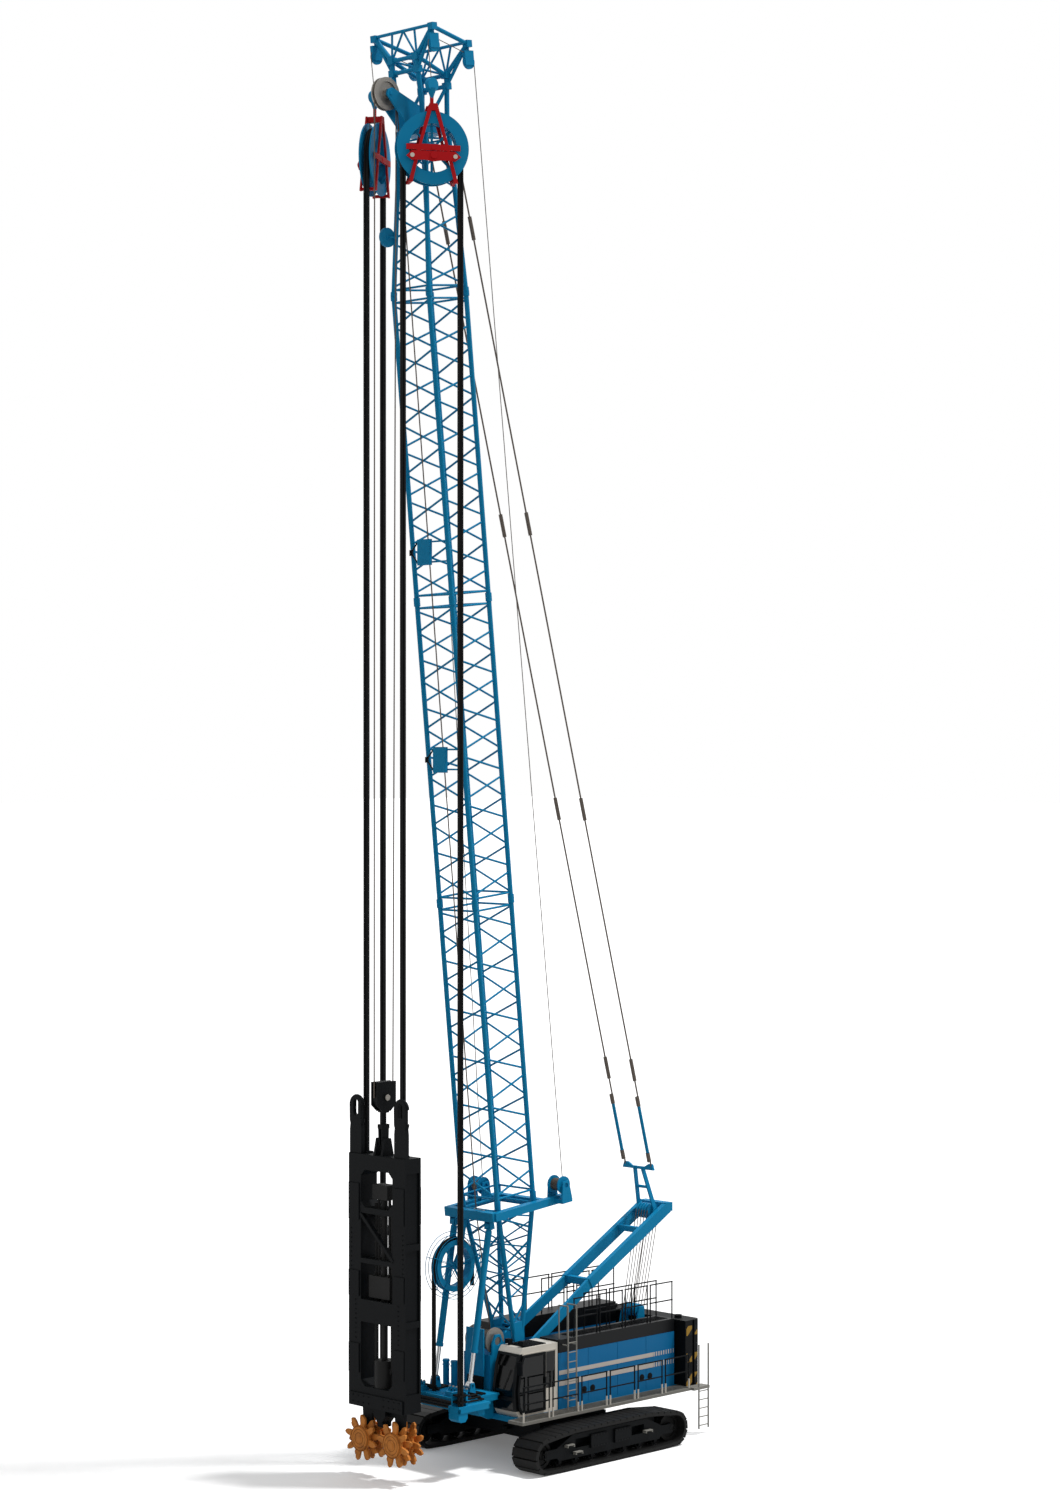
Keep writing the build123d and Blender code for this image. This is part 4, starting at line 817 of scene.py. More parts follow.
cabSet = {"inner": 0.69, "outer": 1.55, "top": 3.30, "lampX": 2.30, "lampIn": 0.16,
          "lampFoot": ((-0.16, -0.02, -0.01), (-0.10, 0.02, 0.06)),
          "lamp": ((-0.18, -0.09, 0.05), (-0.05, 0.09, 0.17)),
          "mirrorArm": ((2.40, -0.02, 2.96), (2.62, 0.16, 2.96)), "mirrorWire": 0.014,
          "mirror": ((2.60, 0.08, 2.62), (2.64, 0.28, 2.98)),
          "wiper": ((2.66, 1.12, 2.16), (2.585, 1.34, 2.72)), "wiperWire": 0.010,
          "grille": (1.34, 2.12), "grilleBars": 14, "grilleBar": (0.022, 0.70, 0.03), "grilleUp": 0.012}


def makeCabTrim():
    bm = bmesh.new()
    # two work lamps on the roof's front edge, each on a short foot
    x, top = cabSet["lampX"], cabSet["top"]
    for y in (cabSet["inner"] + cabSet["lampIn"], cabSet["outer"] - cabSet["lampIn"]):
        for key in ("lampFoot", "lamp"):
            addBox(bm, *[at(x + dx, y + dy, top + dz) for dx, dy, dz in cabSet[key]])
    # mirror on an arm at the door side, measured from the cab's outer face
    outer = cabSet["outer"]
    addRound(bm, *[at(x, outer + y, z) for x, y, z in cabSet["mirrorArm"]], cabSet["mirrorWire"], 10)
    addBox(bm, *[at(x, outer + y, z) for x, y, z in cabSet["mirror"]])
    # wiper on the front glass
    addRound(bm, *[at(*p) for p in cabSet["wiper"]], cabSet["wiperWire"], 8)
    finishPiece("cabTrim", bm, blackEnamel, "upper")


def makeCabGrille():
    x0, x1 = cabSet["grille"]
    count = cabSet["grilleBars"]
    middle = (cabSet["inner"] + cabSet["outer"]) / 2
    values = {"Count": count, "Start": at(x0, middle, cabSet["top"] + cabSet["grilleUp"]),
              "Step": ((x1 - x0) / (count - 1), 0, 0), "Size": cabSet["grilleBar"], "Material": blackEnamel}
    runTree("cabRoofGuard", slatTree, values, "upper")


makeCabTrim()
makeCabGrille()
print("cab dressed")


# Undercarriage

trackSet = {"gauge": 4.74, "frameHalf": 0.33, "coverOut": 0.06, "covers": ((-0.82, -0.15), (0.15, 0.82)),
            "coverZ": (0.48, 0.86), "axleX": 2.595, "axleZ": 0.524,
            "steps": {-1.5: 0.62, 1.36: 0.46, 1.69: 0.70}, "ringRadius": 0.96, "ringZ": 1.02,
            "ringBolts": 40, "ringBolt": (0.028, 0.05), "coverBolts": 6, "boltIn": 0.05, "boltUp": 0.04,
            "bolt": (0.018, 0.024), "axleCircle": 0.085, "axleBolts": 8, "stepHalf": 0.14,
            "stepLug": 0.025, "stepReach": 0.13, "stepDrop": 0.05}


def makeTrackBolts():
    low, high = trackSet["coverZ"]
    count, inset = trackSet["coverBolts"], trackSet["boltIn"]
    for side, name in ((1, "Left"), (-1, "Right")):
        outer = side * (trackSet["gauge"] / 2 + trackSet["frameHalf"])
        points = []
        for x0, x1 in trackSet["covers"]:
            for i in range(count):
                for z in (low + trackSet["boltUp"], high - trackSet["boltUp"]):
                    x = x0 + inset + (x1 - x0 - 2 * inset) * i / (count - 1)
                    points.append(at(x, outer + side * trackSet["coverOut"], z))
        for x in (-trackSet["axleX"], trackSet["axleX"]):
            for dx, dz in boltCircle(trackSet["axleCircle"], trackSet["axleBolts"]):
                points.append(at(x + dx, outer, trackSet["axleZ"] + dz))
        bolts("trackFrameBolts" + name, points, trackSet["bolt"], alongY, trackSteel, "undercarriage")
    circle = boltCircle(trackSet["ringRadius"], trackSet["ringBolts"])
    points = [at(x, y, trackSet["ringZ"]) for x, y in circle]
    bolts("slewRingBolts", points, trackSet["ringBolt"], alongZ, trackSteel, "undercarriage")


def makeTrackSteps():
    # each step is a tread with two side lugs
    bm = bmesh.new()
    half, lug = trackSet["stepHalf"], trackSet["stepLug"]
    for side in (-1, 1):
        outer = side * (trackSet["gauge"] / 2 + trackSet["frameHalf"])
        y0, y1 = sorted((outer - side * 0.01, outer + side * trackSet["stepReach"]))
        for x, z in trackSet["steps"].items():
            addBox(bm, at(x - half, y0, z), at(x + half, y1, z + lug))
            for left in (x - half, x + half - lug):
                addBox(bm, at(left, y0, z - trackSet["stepDrop"]), at(left + lug, y1, z + 0.005))
    finishPiece("trackSteps", bm, greyEnamel, "undercarriage")


webSet = {"halfLong": 2.15, "low": 0.18, "high": 0.92, "halfThick": 0.03}


def makeTrackWebs():
    # plate web along the middle of each crawler frame, between its end wheels
    bm = bmesh.new()
    for side in (-1, 1):
        y = side * trackSet["gauge"] / 2
        addBox(bm, at(-webSet["halfLong"], y - webSet["halfThick"], webSet["low"]),
               at(webSet["halfLong"], y + webSet["halfThick"], webSet["high"]))
    finishPiece("trackWebs", bm, blackEnamel, "undercarriage")


makeTrackBolts()
makeTrackSteps()
makeTrackWebs()
print("undercarriage dressed")


# Boom, head and hangers

latticeSet = {"chord": 0.07, "lace": 0.031, "collar": 0.092, "collarLong": 0.12, "edge": 0.175,
              "sectionLength": 8.5, "sectionBays": 12, "topLength": 4.4, "topBays": 6,
              "topFront": 0.21, "topRear": -0.68, "topHalf": 0.52, "seam": 0.0002,
              "footLow": (0.15, 0.40, 0.52), "footBays": 8, "footBraceFrom": 2, "footLace": 0.024}


def boomCorners(front, rear, half, w):
    return [(front, half, w), (front, -half, w), (rear, -half, w), (rear, half, w)]


def laceFaces(low, high, bays, first=0):
    # one zigzag of bars on each of the four faces, and a frame at each end
    edge = latticeSet["edge"] / (high[0][2] - low[0][2])
    step = (1 - 2 * edge) / bays

    def onChord(i, t):
        return onBoom(*[low[i][k] + (high[i][k] - low[i][k]) * t for k in range(3)])

    paths = []
    for i in range(4):
        j = (i + 1) % 4
        for t in (edge, 1 - edge) if first == 0 else ():
            paths.append([onChord(i, t), onChord(j, t)])
        room = (0.04 if i % 2 == 0 else 0.14) * step
        for k in range(first, bays):
            a, b = (i, j) if (k + i // 2) % 2 == 0 else (j, i)
            t = edge + k * step
            paths.append([onChord(a, t + room), onChord(b, t + step - room)])
    return paths


def makeBoomLattice():
    half, start, length = boom["half"], boom["footLength"], latticeSet["sectionLength"]
    spans = []
    for k in range(3):
        w = start + k * length
        spans.append((f"boom_section_{k + 1}", boomCorners(half, -half, half, w),
                      boomCorners(half, -half, half, w + length), latticeSet["sectionBays"], True))
    w = start + 3 * length
    spans.append(("boom_top", boomCorners(half, -half, half, w),
                  boomCorners(latticeSet["topFront"], latticeSet["topRear"], latticeSet["topHalf"],
                              w + latticeSet["topLength"]), latticeSet["topBays"], False))
    for node, low, high, bays, upperCollar in spans:
        name = node.replace("boom_", "").replace("_", "")
        paths = laceFaces(low, high, bays)
        tubes(name + "Lacing", paths, latticeSet["lace"], blueEnamel, "boom", 50.0, 8)
        bm = bmesh.new()
        for a, b in zip(low, high):
            foot, head = onBoom(*a), onBoom(*b)
            along = (head - foot).normalized()
            addRound(bm, foot + along * latticeSet["seam"], head - along * latticeSet["seam"],
                     latticeSet["chord"], 20)
            ends = [(foot, along)] + ([(head, -along)] if upperCollar else [])
            for spot, way in ends:
                addRound(bm, spot + way * latticeSet["seam"], spot + way * latticeSet["collarLong"],
                         latticeSet["collar"], 20)
        chords = finishPiece(name + "Chords", bm, blueEnamel, "boom")
        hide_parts(node)


def makeFootBracing():
    front, half, w = latticeSet["footLow"]
    low = boomCorners(front, -front, half, w)
    high = boomCorners(boom["half"], -boom["half"], boom["half"], boom["footLength"] - 0.02)
    paths = laceFaces(low, high, latticeSet["footBays"], latticeSet["footBraceFrom"])
    tubes("footBracing", paths, latticeSet["footLace"], blueEnamel, "boom", 50.0, 8)


boomSet = {"discV": -0.70, "discU": 0.80, "discW": 31.55, "discRadius": 0.27, "boxWs": (22.8, 17.0),
           "boxV": -0.14, "boxOut": 0.10, "boxHalf": (0.05, 0.25, 0.36), "railOff": 0.28, "rail": 0.025,
           "discHalf": 0.04, "hub": 0.07, "hubHalf": 0.06, "axleFrom": 0.5, "axleOff": 0.07, "axle": 0.035,
           "armOff": 0.30, "armFrom": (0.03, -0.24), "armTip": (0.03, -0.52, 0), "arm": 0.022,
           "tip": 0.05, "tipHalf": 0.08}


def makeBoomTrim():
    # a cable disc high on the boom, and two boxes on rails between the front chords
    bm, frames = bmesh.new(), bmesh.new()
    u, v, w = boomSet["discU"], boomSet["discV"], boomSet["discW"]
    disc = onBoom(u, v, w)
    for halfKey, key, sides in (("discHalf", "discRadius", 36), ("hubHalf", "hub", 20)):
        y = Vector((0, boomSet[halfKey], 0))
        addRound(bm, disc - y, disc + y, boomSet[key], sides)
    v += boomSet["axleOff"]
    addRound(bm, onBoom(boomSet["axleFrom"], v, w), onBoom(u, v, w), boomSet["axle"], 12)
    size, half = Vector(boomSet["boxHalf"]), boom["half"]
    end = Vector((0, 0, boomSet["tipHalf"]))
    for w in boomSet["boxWs"]:
        spot = onBoom(half + boomSet["boxOut"], boomSet["boxV"], w)
        addBox(bm, spot - size, spot + size)
        for dw in (-boomSet["railOff"], boomSet["railOff"]):
            addRound(bm, onBoom(half, -half, w + dw), onBoom(half, half, w + dw), boomSet["rail"], 8)
        tip = spot + Vector(boomSet["armTip"])
        for dz in (-boomSet["armOff"], boomSet["armOff"]):
            addRound(frames, spot + Vector((*boomSet["armFrom"], dz)), tip, boomSet["arm"], 8)
        addRound(frames, tip - end, tip + end, boomSet["tip"], 12)
    finishPiece("boomTrim", bm, blueEnamel, "boom")
    finishPiece("boomBoxArms", frames, blackEnamel, "boom")


headSet = {"front": (5.43, 1.16, 39.80), "rear": (4.05, 1.10, 39.54), "beam": 0.045, "brace": 0.032,
           "frontNode": (5.38, 0.50, 39.05), "rearNode": (4.28, 0.50, 38.68), "innerV": 0.45}


def makeHeadBracing():
    # cross beams between the tips, with braces down to the head's four posts
    beams, braces = [], []
    for tip, node in (("front", "frontNode"), ("rear", "rearNode")):
        x, y, z = headSet[tip]
        beams.append([at(x, -y, z), at(x, y, z)])
        nx, ny, nz = headSet[node]
        for side in (-1, 1):
            inner = at(x, side * headSet["innerV"], z)
            braces.append([inner, at(nx, side * ny, nz)])
            braces.append([at(x, 0, z), at(nx, side * ny, nz)])
    fx, fy, fz = headSet["frontNode"]
    rx, ry, rz = headSet["rearNode"]
    for side in (-1, 1):
        braces.append([at(fx, side * fy, fz), at(rx, -side * ry, rz)])
    tubes("headBeams", beams, headSet["beam"], blueEnamel, "boom", 50.0, 10)
    tubes("headBraces", braces, headSet["brace"], blueEnamel, "boom", 50.0, 8)


yokeSet = {"outline": ((-0.76, -0.03), (-0.60, 0.11), (0.60, 0.11), (0.76, -0.03), (0.60, -0.15),
                       (0.25, -0.13), (0, -0.17), (-0.25, -0.13), (-0.60, -0.15)),
           "below": 0.22, "face": 0.236, "thick": 0.045, "boss": 0.10, "bossHigh": 0.05,
           "padOut": 0.60, "pad": 0.06, "padThick": 0.025, "padDrop": 0.02}


def makeHangerYokes():
    # curved red yoke across the outer side of each hanger, with a pale pad at each end
    yokes, pads = bmesh.new(), bmesh.new()
    up = Vector((0, 0, 1))
    for side in (1, -1):
        across, axle = wheelAxes(side)
        out = axle if axle.y * side > 0 else -axle
        centre = at(auxSet["hangerX"], side * auxSet["hangerY"], hoseSet["wheelZ"] - yokeSet["below"])
        base = centre + out * yokeSet["face"]
        addPlate(yokes, [base + across * a + up * z for a, z in yokeSet["outline"]], out * yokeSet["thick"])
        face = base + out * yokeSet["thick"]
        addRound(yokes, face, face + out * yokeSet["bossHigh"], yokeSet["boss"], 24)
        for a in (-yokeSet["padOut"], yokeSet["padOut"]):
            spot = face + across * a - up * yokeSet["padDrop"]
            addRound(pads, spot, spot + out * yokeSet["padThick"], yokeSet["pad"], 20)
    finishPiece("hangerYokes", yokes, redEnamel, "hanging_train")
    finishPiece("hangerPads", pads, cabEnamel, "hanging_train")


pendantSet = {"y": 0.52, "top": (4.04, 37.215), "rod": 0.048, "rodLength": 1.75, "lowest": 0.09,
              "sleeve": 0.062, "sleeveLong": 0.28, "footGap": 0.12}


def makePendantRods():
    # blue rods at the pendants' lower ends, with a steel sleeve at each end
    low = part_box("pendants")[0]
    rods, sleeves = bmesh.new(), bmesh.new()
    for side in (-1, 1):
        top = at(pendantSet["top"][0], side * pendantSet["y"], pendantSet["top"][1])
        foot = Vector((low.x + pendantSet["lowest"], top.y, low.z + pendantSet["lowest"]))
        along = (top - foot).normalized()
        foot = foot + along * pendantSet["footGap"]
        end = foot + along * pendantSet["rodLength"]
        addRound(rods, foot, end, pendantSet["rod"], 16)
        for spot in (foot, end):
            addRound(sleeves, spot, spot + along * pendantSet["sleeveLong"], pendantSet["sleeve"], 16)
    finishPiece("pendantRods", rods, blueEnamel, "boom")
    finishPiece("pendantSleeves", sleeves, ropeSteel, "boom")


makeBoomLattice()
makeFootBracing()
makeBoomTrim()
makeHeadBracing()
makeHangerYokes()
makePendantRods()
print("boom dressed")


# Front platform

deckSet = {
    "plan": ((2.70, -1.0), (3.70, -1.0), (3.70, -1.68), (4.90, -1.68), (4.90, -1.25), (4.13, -1.25),
             (4.13, 1.25), (4.90, 1.25), (4.90, 1.68), (3.70, 1.68), (3.70, 1.0), (2.70, 1.0)),
    "low": 1.99, "high": 2.05, "edgeLow": 1.87, "edgeThick": 0.06,
    "armBlock": ((4.56, 1.88), (4.90, 1.88), (4.90, 1.70), (4.82, 1.62), (4.64, 1.62), (4.56, 1.72)),
    "armY": (1.27, 0.39), "girderHalf": 1.45,
    "girder": ((3.72, 1.88), (4.02, 1.88), (3.92, 1.64), (3.72, 1.64)),
    "gusset": ((2.60, 1.276), (2.80, 1.276), (3.70, 1.68), (3.70, 2.03), (2.60, 2.03)), "gussetY": 0.62,
    "bracket": ((3.42, 2.03), (3.68, 2.03), (3.62, 2.40), (3.48, 2.40)), "strut": (3.55, 0.70, 2.33),
    "bottles": ((2.90, -0.95), (2.90, -0.62)), "bottle": 0.092, "bottleTop": 2.76,
    "guard": ((2.70, -0.30, 2.42), (2.74, 0.40, 3.74)), "tank": ((2.69, -0.26, 2.04), (2.73, 0.36, 2.425)),
    "ribs": 9, "ribPitch": 0.09, "ribSize": (0.035, 1.0, 0.03), "ribX": 3.32, "ribUp": 0.012,
    "pin": 0.042, "pinHalf": 0.115, "bracketThick": 0.04, "gussetThick": 0.08, "standTop": 2.42,
    "standPlates": (((-0.17, 0.11), (-0.25, -0.20)), ((-0.23, -0.17), (-0.25, 0.05))),
    "clamp": ((-0.18, 0.10), (-0.21, 0.10)), "clampZs": (2.14, 2.32), "clampThick": 0.05,
    "bands": (0.55, 0.66), "band": 0.03, "bandProud": 0.015, "edgeHose": 0.036, "edgeHoses": 3,
    "edgePath": ((3.95, -1.30), (4.18, -1.18), (4.18, 1.18), (3.95, 1.30)), "edgeZ": 1.94,
    "edgePitch": 0.075,
}


def makeFrontPlatform():
    # thin deck with open sides on two gussets, a cross girder and a block under each hose clamp
    bm = bmesh.new()
    up = Vector((0, 0, 1))
    plan = deckSet["plan"]
    low, high, thick = deckSet["low"], deckSet["high"], deckSet["edgeThick"]
    addPlate(bm, [at(x, y, low) for x, y in plan], up * (high - low))
    for (x0, y0), (x1, y1) in zip(plan, plan[1:] + plan[:1]):
        run = Vector((x1 - x0, y1 - y0, 0)).normalized()
        inward = Vector((-run.y, run.x, 0)) * thick
        ends = (at(x0, y0, 0), at(x1, y1, 0), at(x0, y0, 0) + inward, at(x1, y1, 0) + inward)
        addBox(bm, Vector((min(p.x for p in ends), min(p.y for p in ends), deckSet["edgeLow"])),
               Vector((max(p.x for p in ends), max(p.y for p in ends), low + sink)))
    half = deckSet["girderHalf"]
    addPlate(bm, [at(x, -half, z) for x, z in deckSet["girder"]], Vector((0, 2 * half, 0)))
    strutX, strutY, strutZ = deckSet["strut"]
    legX, legY = hoseSet["platformLeg"]
    for side in (-1, 1):
        inner, wide = deckSet["armY"]
        addPlate(bm, [at(x, side * inner, z) for x, z in deckSet["armBlock"]], Vector((0, side * wide, 0)))
        thick = deckSet["gussetThick"]
        y = side * deckSet["gussetY"] - thick / 2
        addPlate(bm, [at(x, y, z) for x, z in deckSet["gusset"]], Vector((0, thick, 0)))
        thick = deckSet["bracketThick"]
        pinLow, pinHigh = side * strutY - deckSet["pinHalf"], side * strutY + deckSet["pinHalf"]
        for y in (pinLow, pinHigh - thick):
            addPlate(bm, [at(x, y, z) for x, z in deckSet["bracket"]], Vector((0, thick, 0)))
        addRound(bm, at(strutX, pinLow, strutZ), at(strutX, pinHigh, strutZ), deckSet["pin"])
        # the stand that holds the hose clamps
        for (x0, x1), ys in deckSet["standPlates"]:
            y0, y1 = sorted(side * (legY + y) for y in ys)
            addBox(bm, at(legX + x0, y0, low), at(legX + x1, y1, deckSet["standTop"]))
    for x, y in deckSet["bottles"]:
        foot, top = at(x, y, high - 0.01), at(x, y, deckSet["bottleTop"])
        addRound(bm, foot, top, deckSet["bottle"], 20)
        for z in deckSet["bands"]:
            addRound(bm, foot + up * z, foot + up * (z + deckSet["band"]),
                     deckSet["bottle"] + deckSet["bandProud"], 20)
    addBox(bm, *[at(*corner) for corner in deckSet["guard"]])
    deck = finishPiece("platformDeck", bm, blueEnamel, "upper")
    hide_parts("front_platform")


def makePlatformHoses():
    # dark hoses under the deck's front edge, clamp plates round the rising hoses, tank under the guard
    paths = []
    for k in range(deckSet["edgeHoses"]):
        z = deckSet["edgeZ"] - deckSet["edgePitch"] * k
        paths.append([at(x, y, z) for x, y in deckSet["edgePath"]])
    tubes("platformEdgeHoses", paths, deckSet["edgeHose"], rubber, "upper", 0.3, 12)
    bm = bmesh.new()
    legX, legY = hoseSet["platformLeg"]
    (x0, x1), ys = deckSet["clamp"]
    for side in (-1, 1):
        y0, y1 = sorted(side * (legY + y) for y in ys)
        for z in deckSet["clampZs"]:
            addBox(bm, at(legX + x0, y0, z), at(legX + x1, y1, z + deckSet["clampThick"]))
    addBox(bm, *[at(*corner) for corner in deckSet["tank"]])
    finishPiece("platformClamps", bm, blackEnamel, "upper")
    count, pitch = deckSet["ribs"], deckSet["ribPitch"]
    start = at(deckSet["ribX"], 0, deckSet["high"] + deckSet["ribUp"])
    values = {"Count": count, "Start": start, "Step": (pitch, 0, 0), "Size": deckSet["ribSize"],
              "Material": blueEnamel}
    runTree("platformRibs", slatTree, values, "upper")


platformSet = {"banks": ((3.92, 0.62, 0.80), (3.92, -1.10, 0.80)), "bankWide": 0.26,
               "bankHigh": 0.13, "valves": 6, "valve": 0.045, "valveHigh": 0.13, "cap": 0.03,
               "capShare": 0.7, "pipe": 0.028, "pipes": 3, "pipeX": 3.78, "pipeUp": 0.05, "pipePitch": 0.06,
               "pipeInner": 0.30, "armX": 4.55, "armY": 1.40, "armPitch": 0.07, "rearPipes": 2,
               "rearX": 3.20, "rearPitch": 0.12, "rearUp": 0.04, "rearYs": (0.95, 0.55),
               "rearEnd": (3.80, 0.45)}


def makePlatformGear():
    # valve banks on the platform, and the pipes that lead to the hose clamps
    blocks, caps = bmesh.new(), bmesh.new()
    pipes = []
    top, valve = deckSet["high"], platformSet["valve"]
    wide, high = platformSet["bankWide"] / 2, platformSet["bankHigh"]
    up = Vector((0, 0, 1))
    for x, y, long in platformSet["banks"]:
        addBox(blocks, at(x - wide, y - long / 2, top - 0.005), at(x + wide, y + long / 2, top + high))
        for k in range(platformSet["valves"]):
            spot = at(x, y - long / 2 + long * (k + 0.5) / platformSet["valves"], top + high - 0.005)
            head = spot + up * platformSet["valveHigh"]
            addRound(blocks, spot, head, valve, 16)
            addRound(caps, head, head + up * platformSet["cap"], valve * platformSet["capShare"], 16)
    for side in (-1, 1):
        for k in range(platformSet["pipes"]):
            rise = platformSet["pipePitch"] * k
            x, z = platformSet["pipeX"] + rise, top + platformSet["pipeUp"] + rise
            y = side * (platformSet["armY"] - platformSet["armPitch"] * (k - 1))
            start = at(x, side * platformSet["pipeInner"], z)
            pipes.append([start, at(x, y, z), at(platformSet["armX"], y, z)])
        endX, endY = platformSet["rearEnd"]
        for k in range(platformSet["rearPipes"]):
            x, z = platformSet["rearX"] + platformSet["rearPitch"] * k, top + platformSet["rearUp"]
            pipes.append([at(x, side * y, z) for y in platformSet["rearYs"]] + [at(endX, side * endY, z)])
    finishPiece("platformValves", blocks, blueEnamel, "upper")
    finishPiece("platformValveCaps", caps, sheaveSteel, "upper")
    tubes("platformPipes", pipes, platformSet["pipe"], rubber, "upper", 0.2, 10)


makeFrontPlatform()
makePlatformHoses()
makePlatformGear()
print("platform dressed")


# Cutter

hookPin = {"y": 0.159, "radius": 0.085, "thick": 0.02}


def makeHookPin():
    bm = bmesh.new()
    for side in (-1, 1):
        spot = at(ropeSet["hookX"], side * hookPin["y"], ropeSet["hookZ"])
        addRound(bm, spot, spot + Vector((0, side * hookPin["thick"], 0)), hookPin["radius"], 24)
    finishPiece("hookPinEnds", bm, sheaveSteel, "cutter")


eyeSet = {"x": 6.32, "y": 0.90, "low": 9.86, "high": 10.24, "bend": 0.225, "wire": 0.062}


def makeLiftingEyes():
    # forged rims round the oval eyes of the two lifting ears
    paths = []
    for side in (-1, 1):
        path = []
        for turn in arcTurns(2 * math.pi):
            dy, dz = onCircle(eyeSet["bend"], turn)
            middle = eyeSet["high"] if dz >= 0 else eyeSet["low"]
            path.append(at(eyeSet["x"], side * eyeSet["y"] + dy, middle + dz))
        paths.append(path)
    tubes("liftingEyes", paths, eyeSet["wire"], blackEnamel, "cutter", 0.12, 14)


drumSet = {"x": 6.12, "y": 0.65, "z": 1.10, "face": 0.34, "plate": 0.325, "proud": 0.022, "groove": 0.342,
           "rings": (0.25, 0.155), "ringWire": 0.012, "hub": 0.085, "standHalf": (0.20, 0.24),
           "standZ": (1.60, 2.02), "standSlope": 0.2, "standTip": 0.35, "hubProud": 0.012, "ringIn": 0.006}


def makeDrumFaces():
    # a turned wear plate on both faces of each drum; a groove round the plate and two on it are drawn as
    # thin rings in painted shade
    ahead = Vector((1, 0, 0))
    for side, body in ((1, "drum_left"), (-1, "drum_right")):
        plates, grooves = bmesh.new(), bmesh.new()
        for way in (ahead, -ahead):
            face = at(drumSet["x"], side * drumSet["y"], drumSet["z"]) + way * drumSet["face"]
            out = face + way * drumSet["proud"]
            addRound(plates, face - way * sink, out, drumSet["plate"], 8)
            addRound(plates, out - way * sink, out + way * drumSet["hubProud"], drumSet["hub"], 24)
            # dark rings of painted shade where the grooves are
            addRing(grooves, face, way, drumSet["groove"], drumSet["ringWire"], 48, 6)
            for radius in drumSet["rings"]:
                addRing(grooves, out - way * drumSet["ringIn"], way, radius, drumSet["ringWire"], 40, 6)
        finishPiece(body.replace("_", "") + "Plates", plates, drumEnamel, body)
        finishPiece(body.replace("_", "") + "GrooveShade", grooves, drumShade, body)


def makeDrumStand():
    # the dark motor housing between the two drums
    bm = bmesh.new()
    halfX, halfY = drumSet["standHalf"]
    low, high = drumSet["standZ"]
    middle = at(drumSet["x"], 0, 0)
    narrow, shoulder = halfY * drumSet["standTip"], low + drumSet["standSlope"]
    outline = [(-narrow, low), (narrow, low), (halfY, shoulder), (halfY, high), (-halfY, high),
               (-halfY, shoulder)]
    addPlate(bm, [middle + Vector((-halfX, y, z)) for y, z in outline], Vector((2 * halfX, 0, 0)))
    finishPiece("drumStand", bm, blackEnamel, "cutter")


cutterSet = {"footOut": 0.34, "footZs": (2.10, 2.28), "footFirst": 0.30, "footPitch": 0.21,
             "footBolts": 4, "sideOut": 0.30, "columns": ((0.86, 3.85), (1.04, 5.80)),
             "sidePitch": 0.13, "sideBolts": 9, "bolt": (0.022, 0.03)}


def makeCutterTrim():
    # bolts across the gearbox shields and up both sides of the cutter frame
    points = []
    footX, sideX = [drumSet["x"] + cutterSet[key] for key in ("footOut", "sideOut")]
    for side in (-1, 1):
        for z in cutterSet["footZs"]:
            for k in range(cutterSet["footBolts"]):
                points.append(at(footX, side * (cutterSet["footFirst"] + cutterSet["footPitch"] * k), z))
        for k in range(cutterSet["sideBolts"]):
            for y, z in cutterSet["columns"]:
                points.append(at(sideX, side * y, z + cutterSet["sidePitch"] * k))
    bolts("cutterBolts", points, cutterSet["bolt"], alongX, blackEnamel, "cutter")


collarSet = {"plateHalf": (0.12, 0.14), "plateHigh": 0.05, "sleeve": 0.0375, "sleeveHigh": 0.16}


def makeHoseCollars():
    bm = bmesh.new()
    inX, inY = hoseSet["cutterLeg"]
    half = Vector((*collarSet["plateHalf"], 0))
    plate = Vector((0, 0, collarSet["plateHigh"]))
    for side in (-1, 1):
        spot = at(inX, side * inY, hoseSet["cutterTop"] - sink)
        addBox(bm, spot - half, spot + half + plate)
        across = wheelAxes(side)[0]
        for shift, out in hoseLanes(side):
            low = spot + shift + across * out + plate
            addRound(bm, low, low + Vector((0, 0, collarSet["sleeveHigh"])), collarSet["sleeve"], 18)
    finishPiece("hoseCollars", bm, blackEnamel, "cutter")


makeHookPin()
makeLiftingEyes()
makeDrumFaces()
makeDrumStand()
makeCutterTrim()
makeHoseCollars()
print("cutter dressed")


# Floor, light and camera

stageSet = {"floor": "#FFFFFF", "floorBounce": "#A6A6A4", "floorSize": 900.0, "sunTurn": (24, 0, -135),
            "sunPower": 2.3, "sunSoftDeg": 6, "skyPower": 0.56, "floorGlow": 0.14}


def seenDirectly(tree):
    # rays from the camera, and those that metal and glass pass on
    rays = addNode(tree, "ShaderNodeLightPath").outputs
    direct = addNode(tree, "ShaderNodeMath", {0: rays["Is Camera Ray"], 1: rays["Is Glossy Ray"]},
                     operation="MAXIMUM")
    shown = addNode(tree, "ShaderNodeMath", {0: direct.outputs["Value"], 1: rays["Is Transmission Ray"]},
                    operation="MAXIMUM")
    return shown.outputs["Value"]


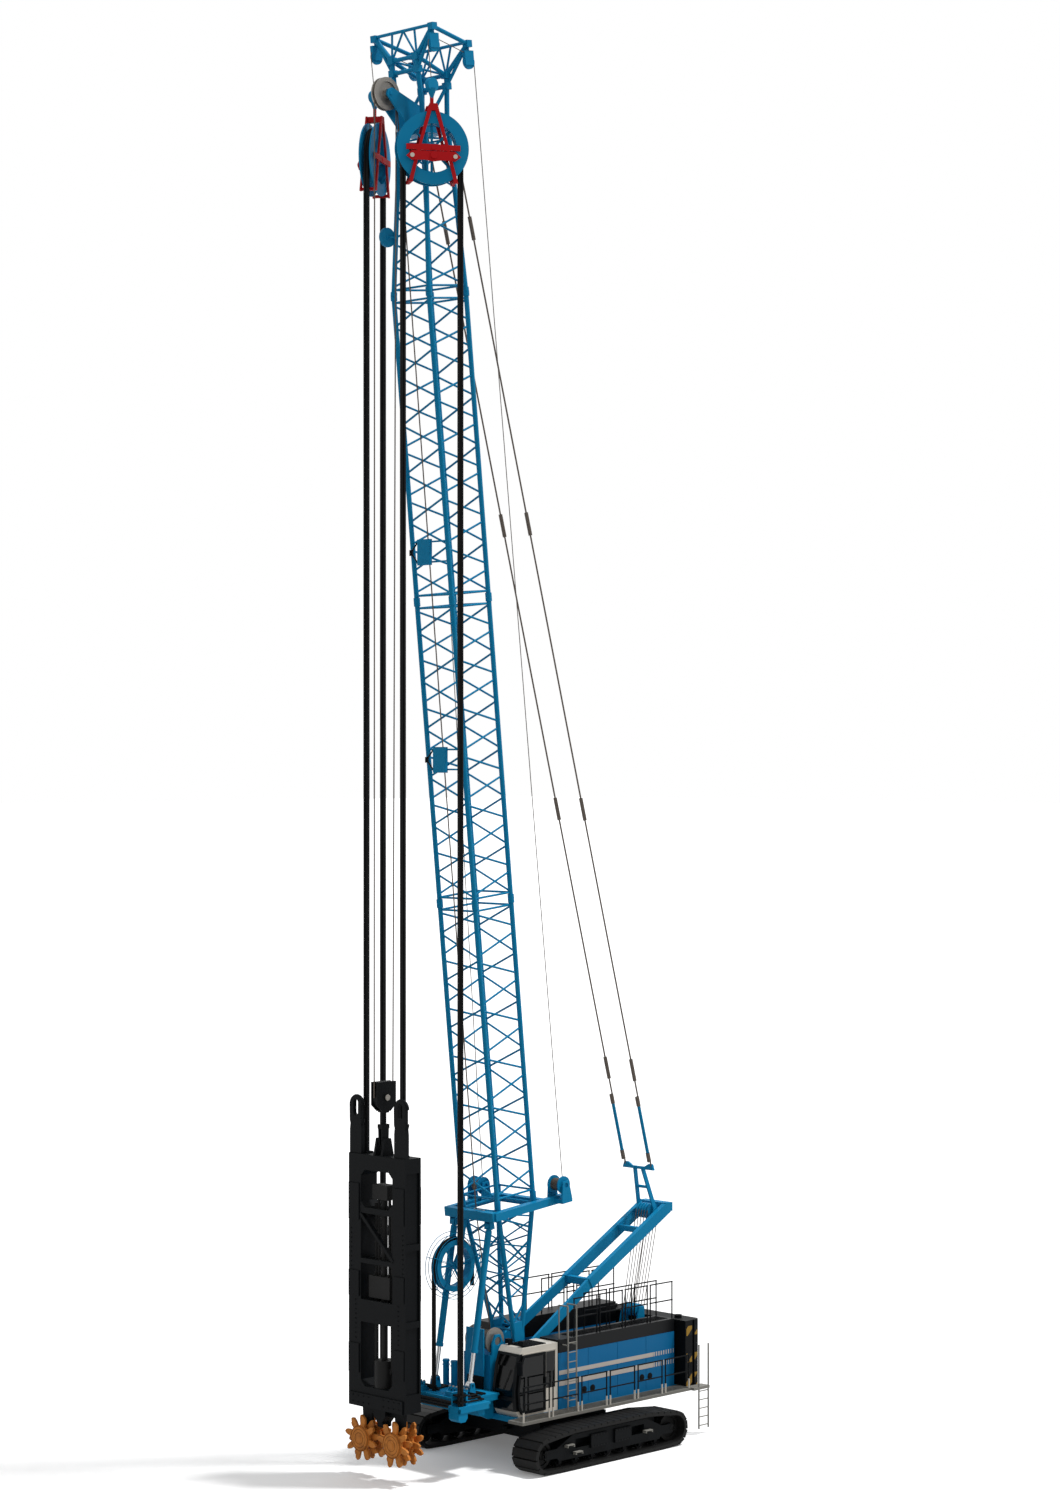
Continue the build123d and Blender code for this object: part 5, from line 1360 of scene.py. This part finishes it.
def makeStage():
    bm = bmesh.new()
    size = stageSet["floorSize"]
    addBox(bm, Vector((-size, -size, -0.02)), Vector((size, size, -0.001)))
    mesh = bpy.data.meshes.new("studioFloor")
    bm.to_mesh(mesh)
    bm.free()
    material, tree, shader = startMaterial("paleFloor")
    shown = seenDirectly(tree)
    sheet = addNode(tree, "ShaderNodeMix", {"Factor": shown}, data_type="RGBA")
    sheet.inputs[6].default_value = hexToLinear(stageSet["floorBounce"])
    sheet.inputs[7].default_value = hexToLinear(stageSet["floor"])
    tree.links.new(sheet.outputs[2], shader.inputs["Base Color"])
    glow = addNode(tree, "ShaderNodeMath", {0: shown, 1: stageSet["floorGlow"]}, operation="MULTIPLY")
    tree.links.new(glow.outputs["Value"], shader.inputs["Emission Strength"])
    setShader(shader, {"Emission Color": hexToLinear(stageSet["floor"]), "Roughness": 0.9,
                       "Specular IOR Level": 0.0})
    mesh.materials.append(material)
    linkObject("studioFloor", mesh)


def makeLight():
    sun = bpy.data.lights.new("studioSun", "SUN")
    sun.energy = stageSet["sunPower"]
    sun.angle = math.radians(stageSet["sunSoftDeg"])
    lamp = linkObject("studioSun", sun)
    lamp.rotation_euler = [math.radians(a) for a in stageSet["sunTurn"]]
    world = bpy.data.worlds.new("studioSky")
    world.use_nodes = True
    tree = world.node_tree
    tree.nodes.clear()
    lit = addNode(tree, "ShaderNodeBackground", {"Color": (1, 1, 1, 1), "Strength": stageSet["skyPower"]})
    plain = addNode(tree, "ShaderNodeBackground", {"Color": (1, 1, 1, 1), "Strength": 1.0})
    mix = addNode(tree, "ShaderNodeMixShader", {0: seenDirectly(tree), 1: lit.outputs["Background"],
                                                2: plain.outputs["Background"]})
    addNode(tree, "ShaderNodeOutputWorld", {"Surface": mix.outputs["Shader"]})
    bpy.context.scene.world = world


cameraSet = {"x": 64.385, "y": 63.896, "z": 20.0, "lens": 75.7, "sensor": 36, "reach": 2000,
             "turnDeg": (90, 0, 135)}


def makeCamera():
    data = bpy.data.cameras.new("photoCamera")
    data.lens = cameraSet["lens"]
    data.sensor_width = cameraSet["sensor"]
    data.clip_end = cameraSet["reach"]
    camera = linkObject("photoCamera", data)
    camera.location = at(cameraSet["x"], cameraSet["y"], cameraSet["z"])
    camera.rotation_euler = [math.radians(a) for a in cameraSet["turnDeg"]]
    bpy.context.scene.camera = camera


makeStage()
makeLight()
makeCamera()
bpy.context.scene.view_settings.view_transform = "Standard"
print("stage made")
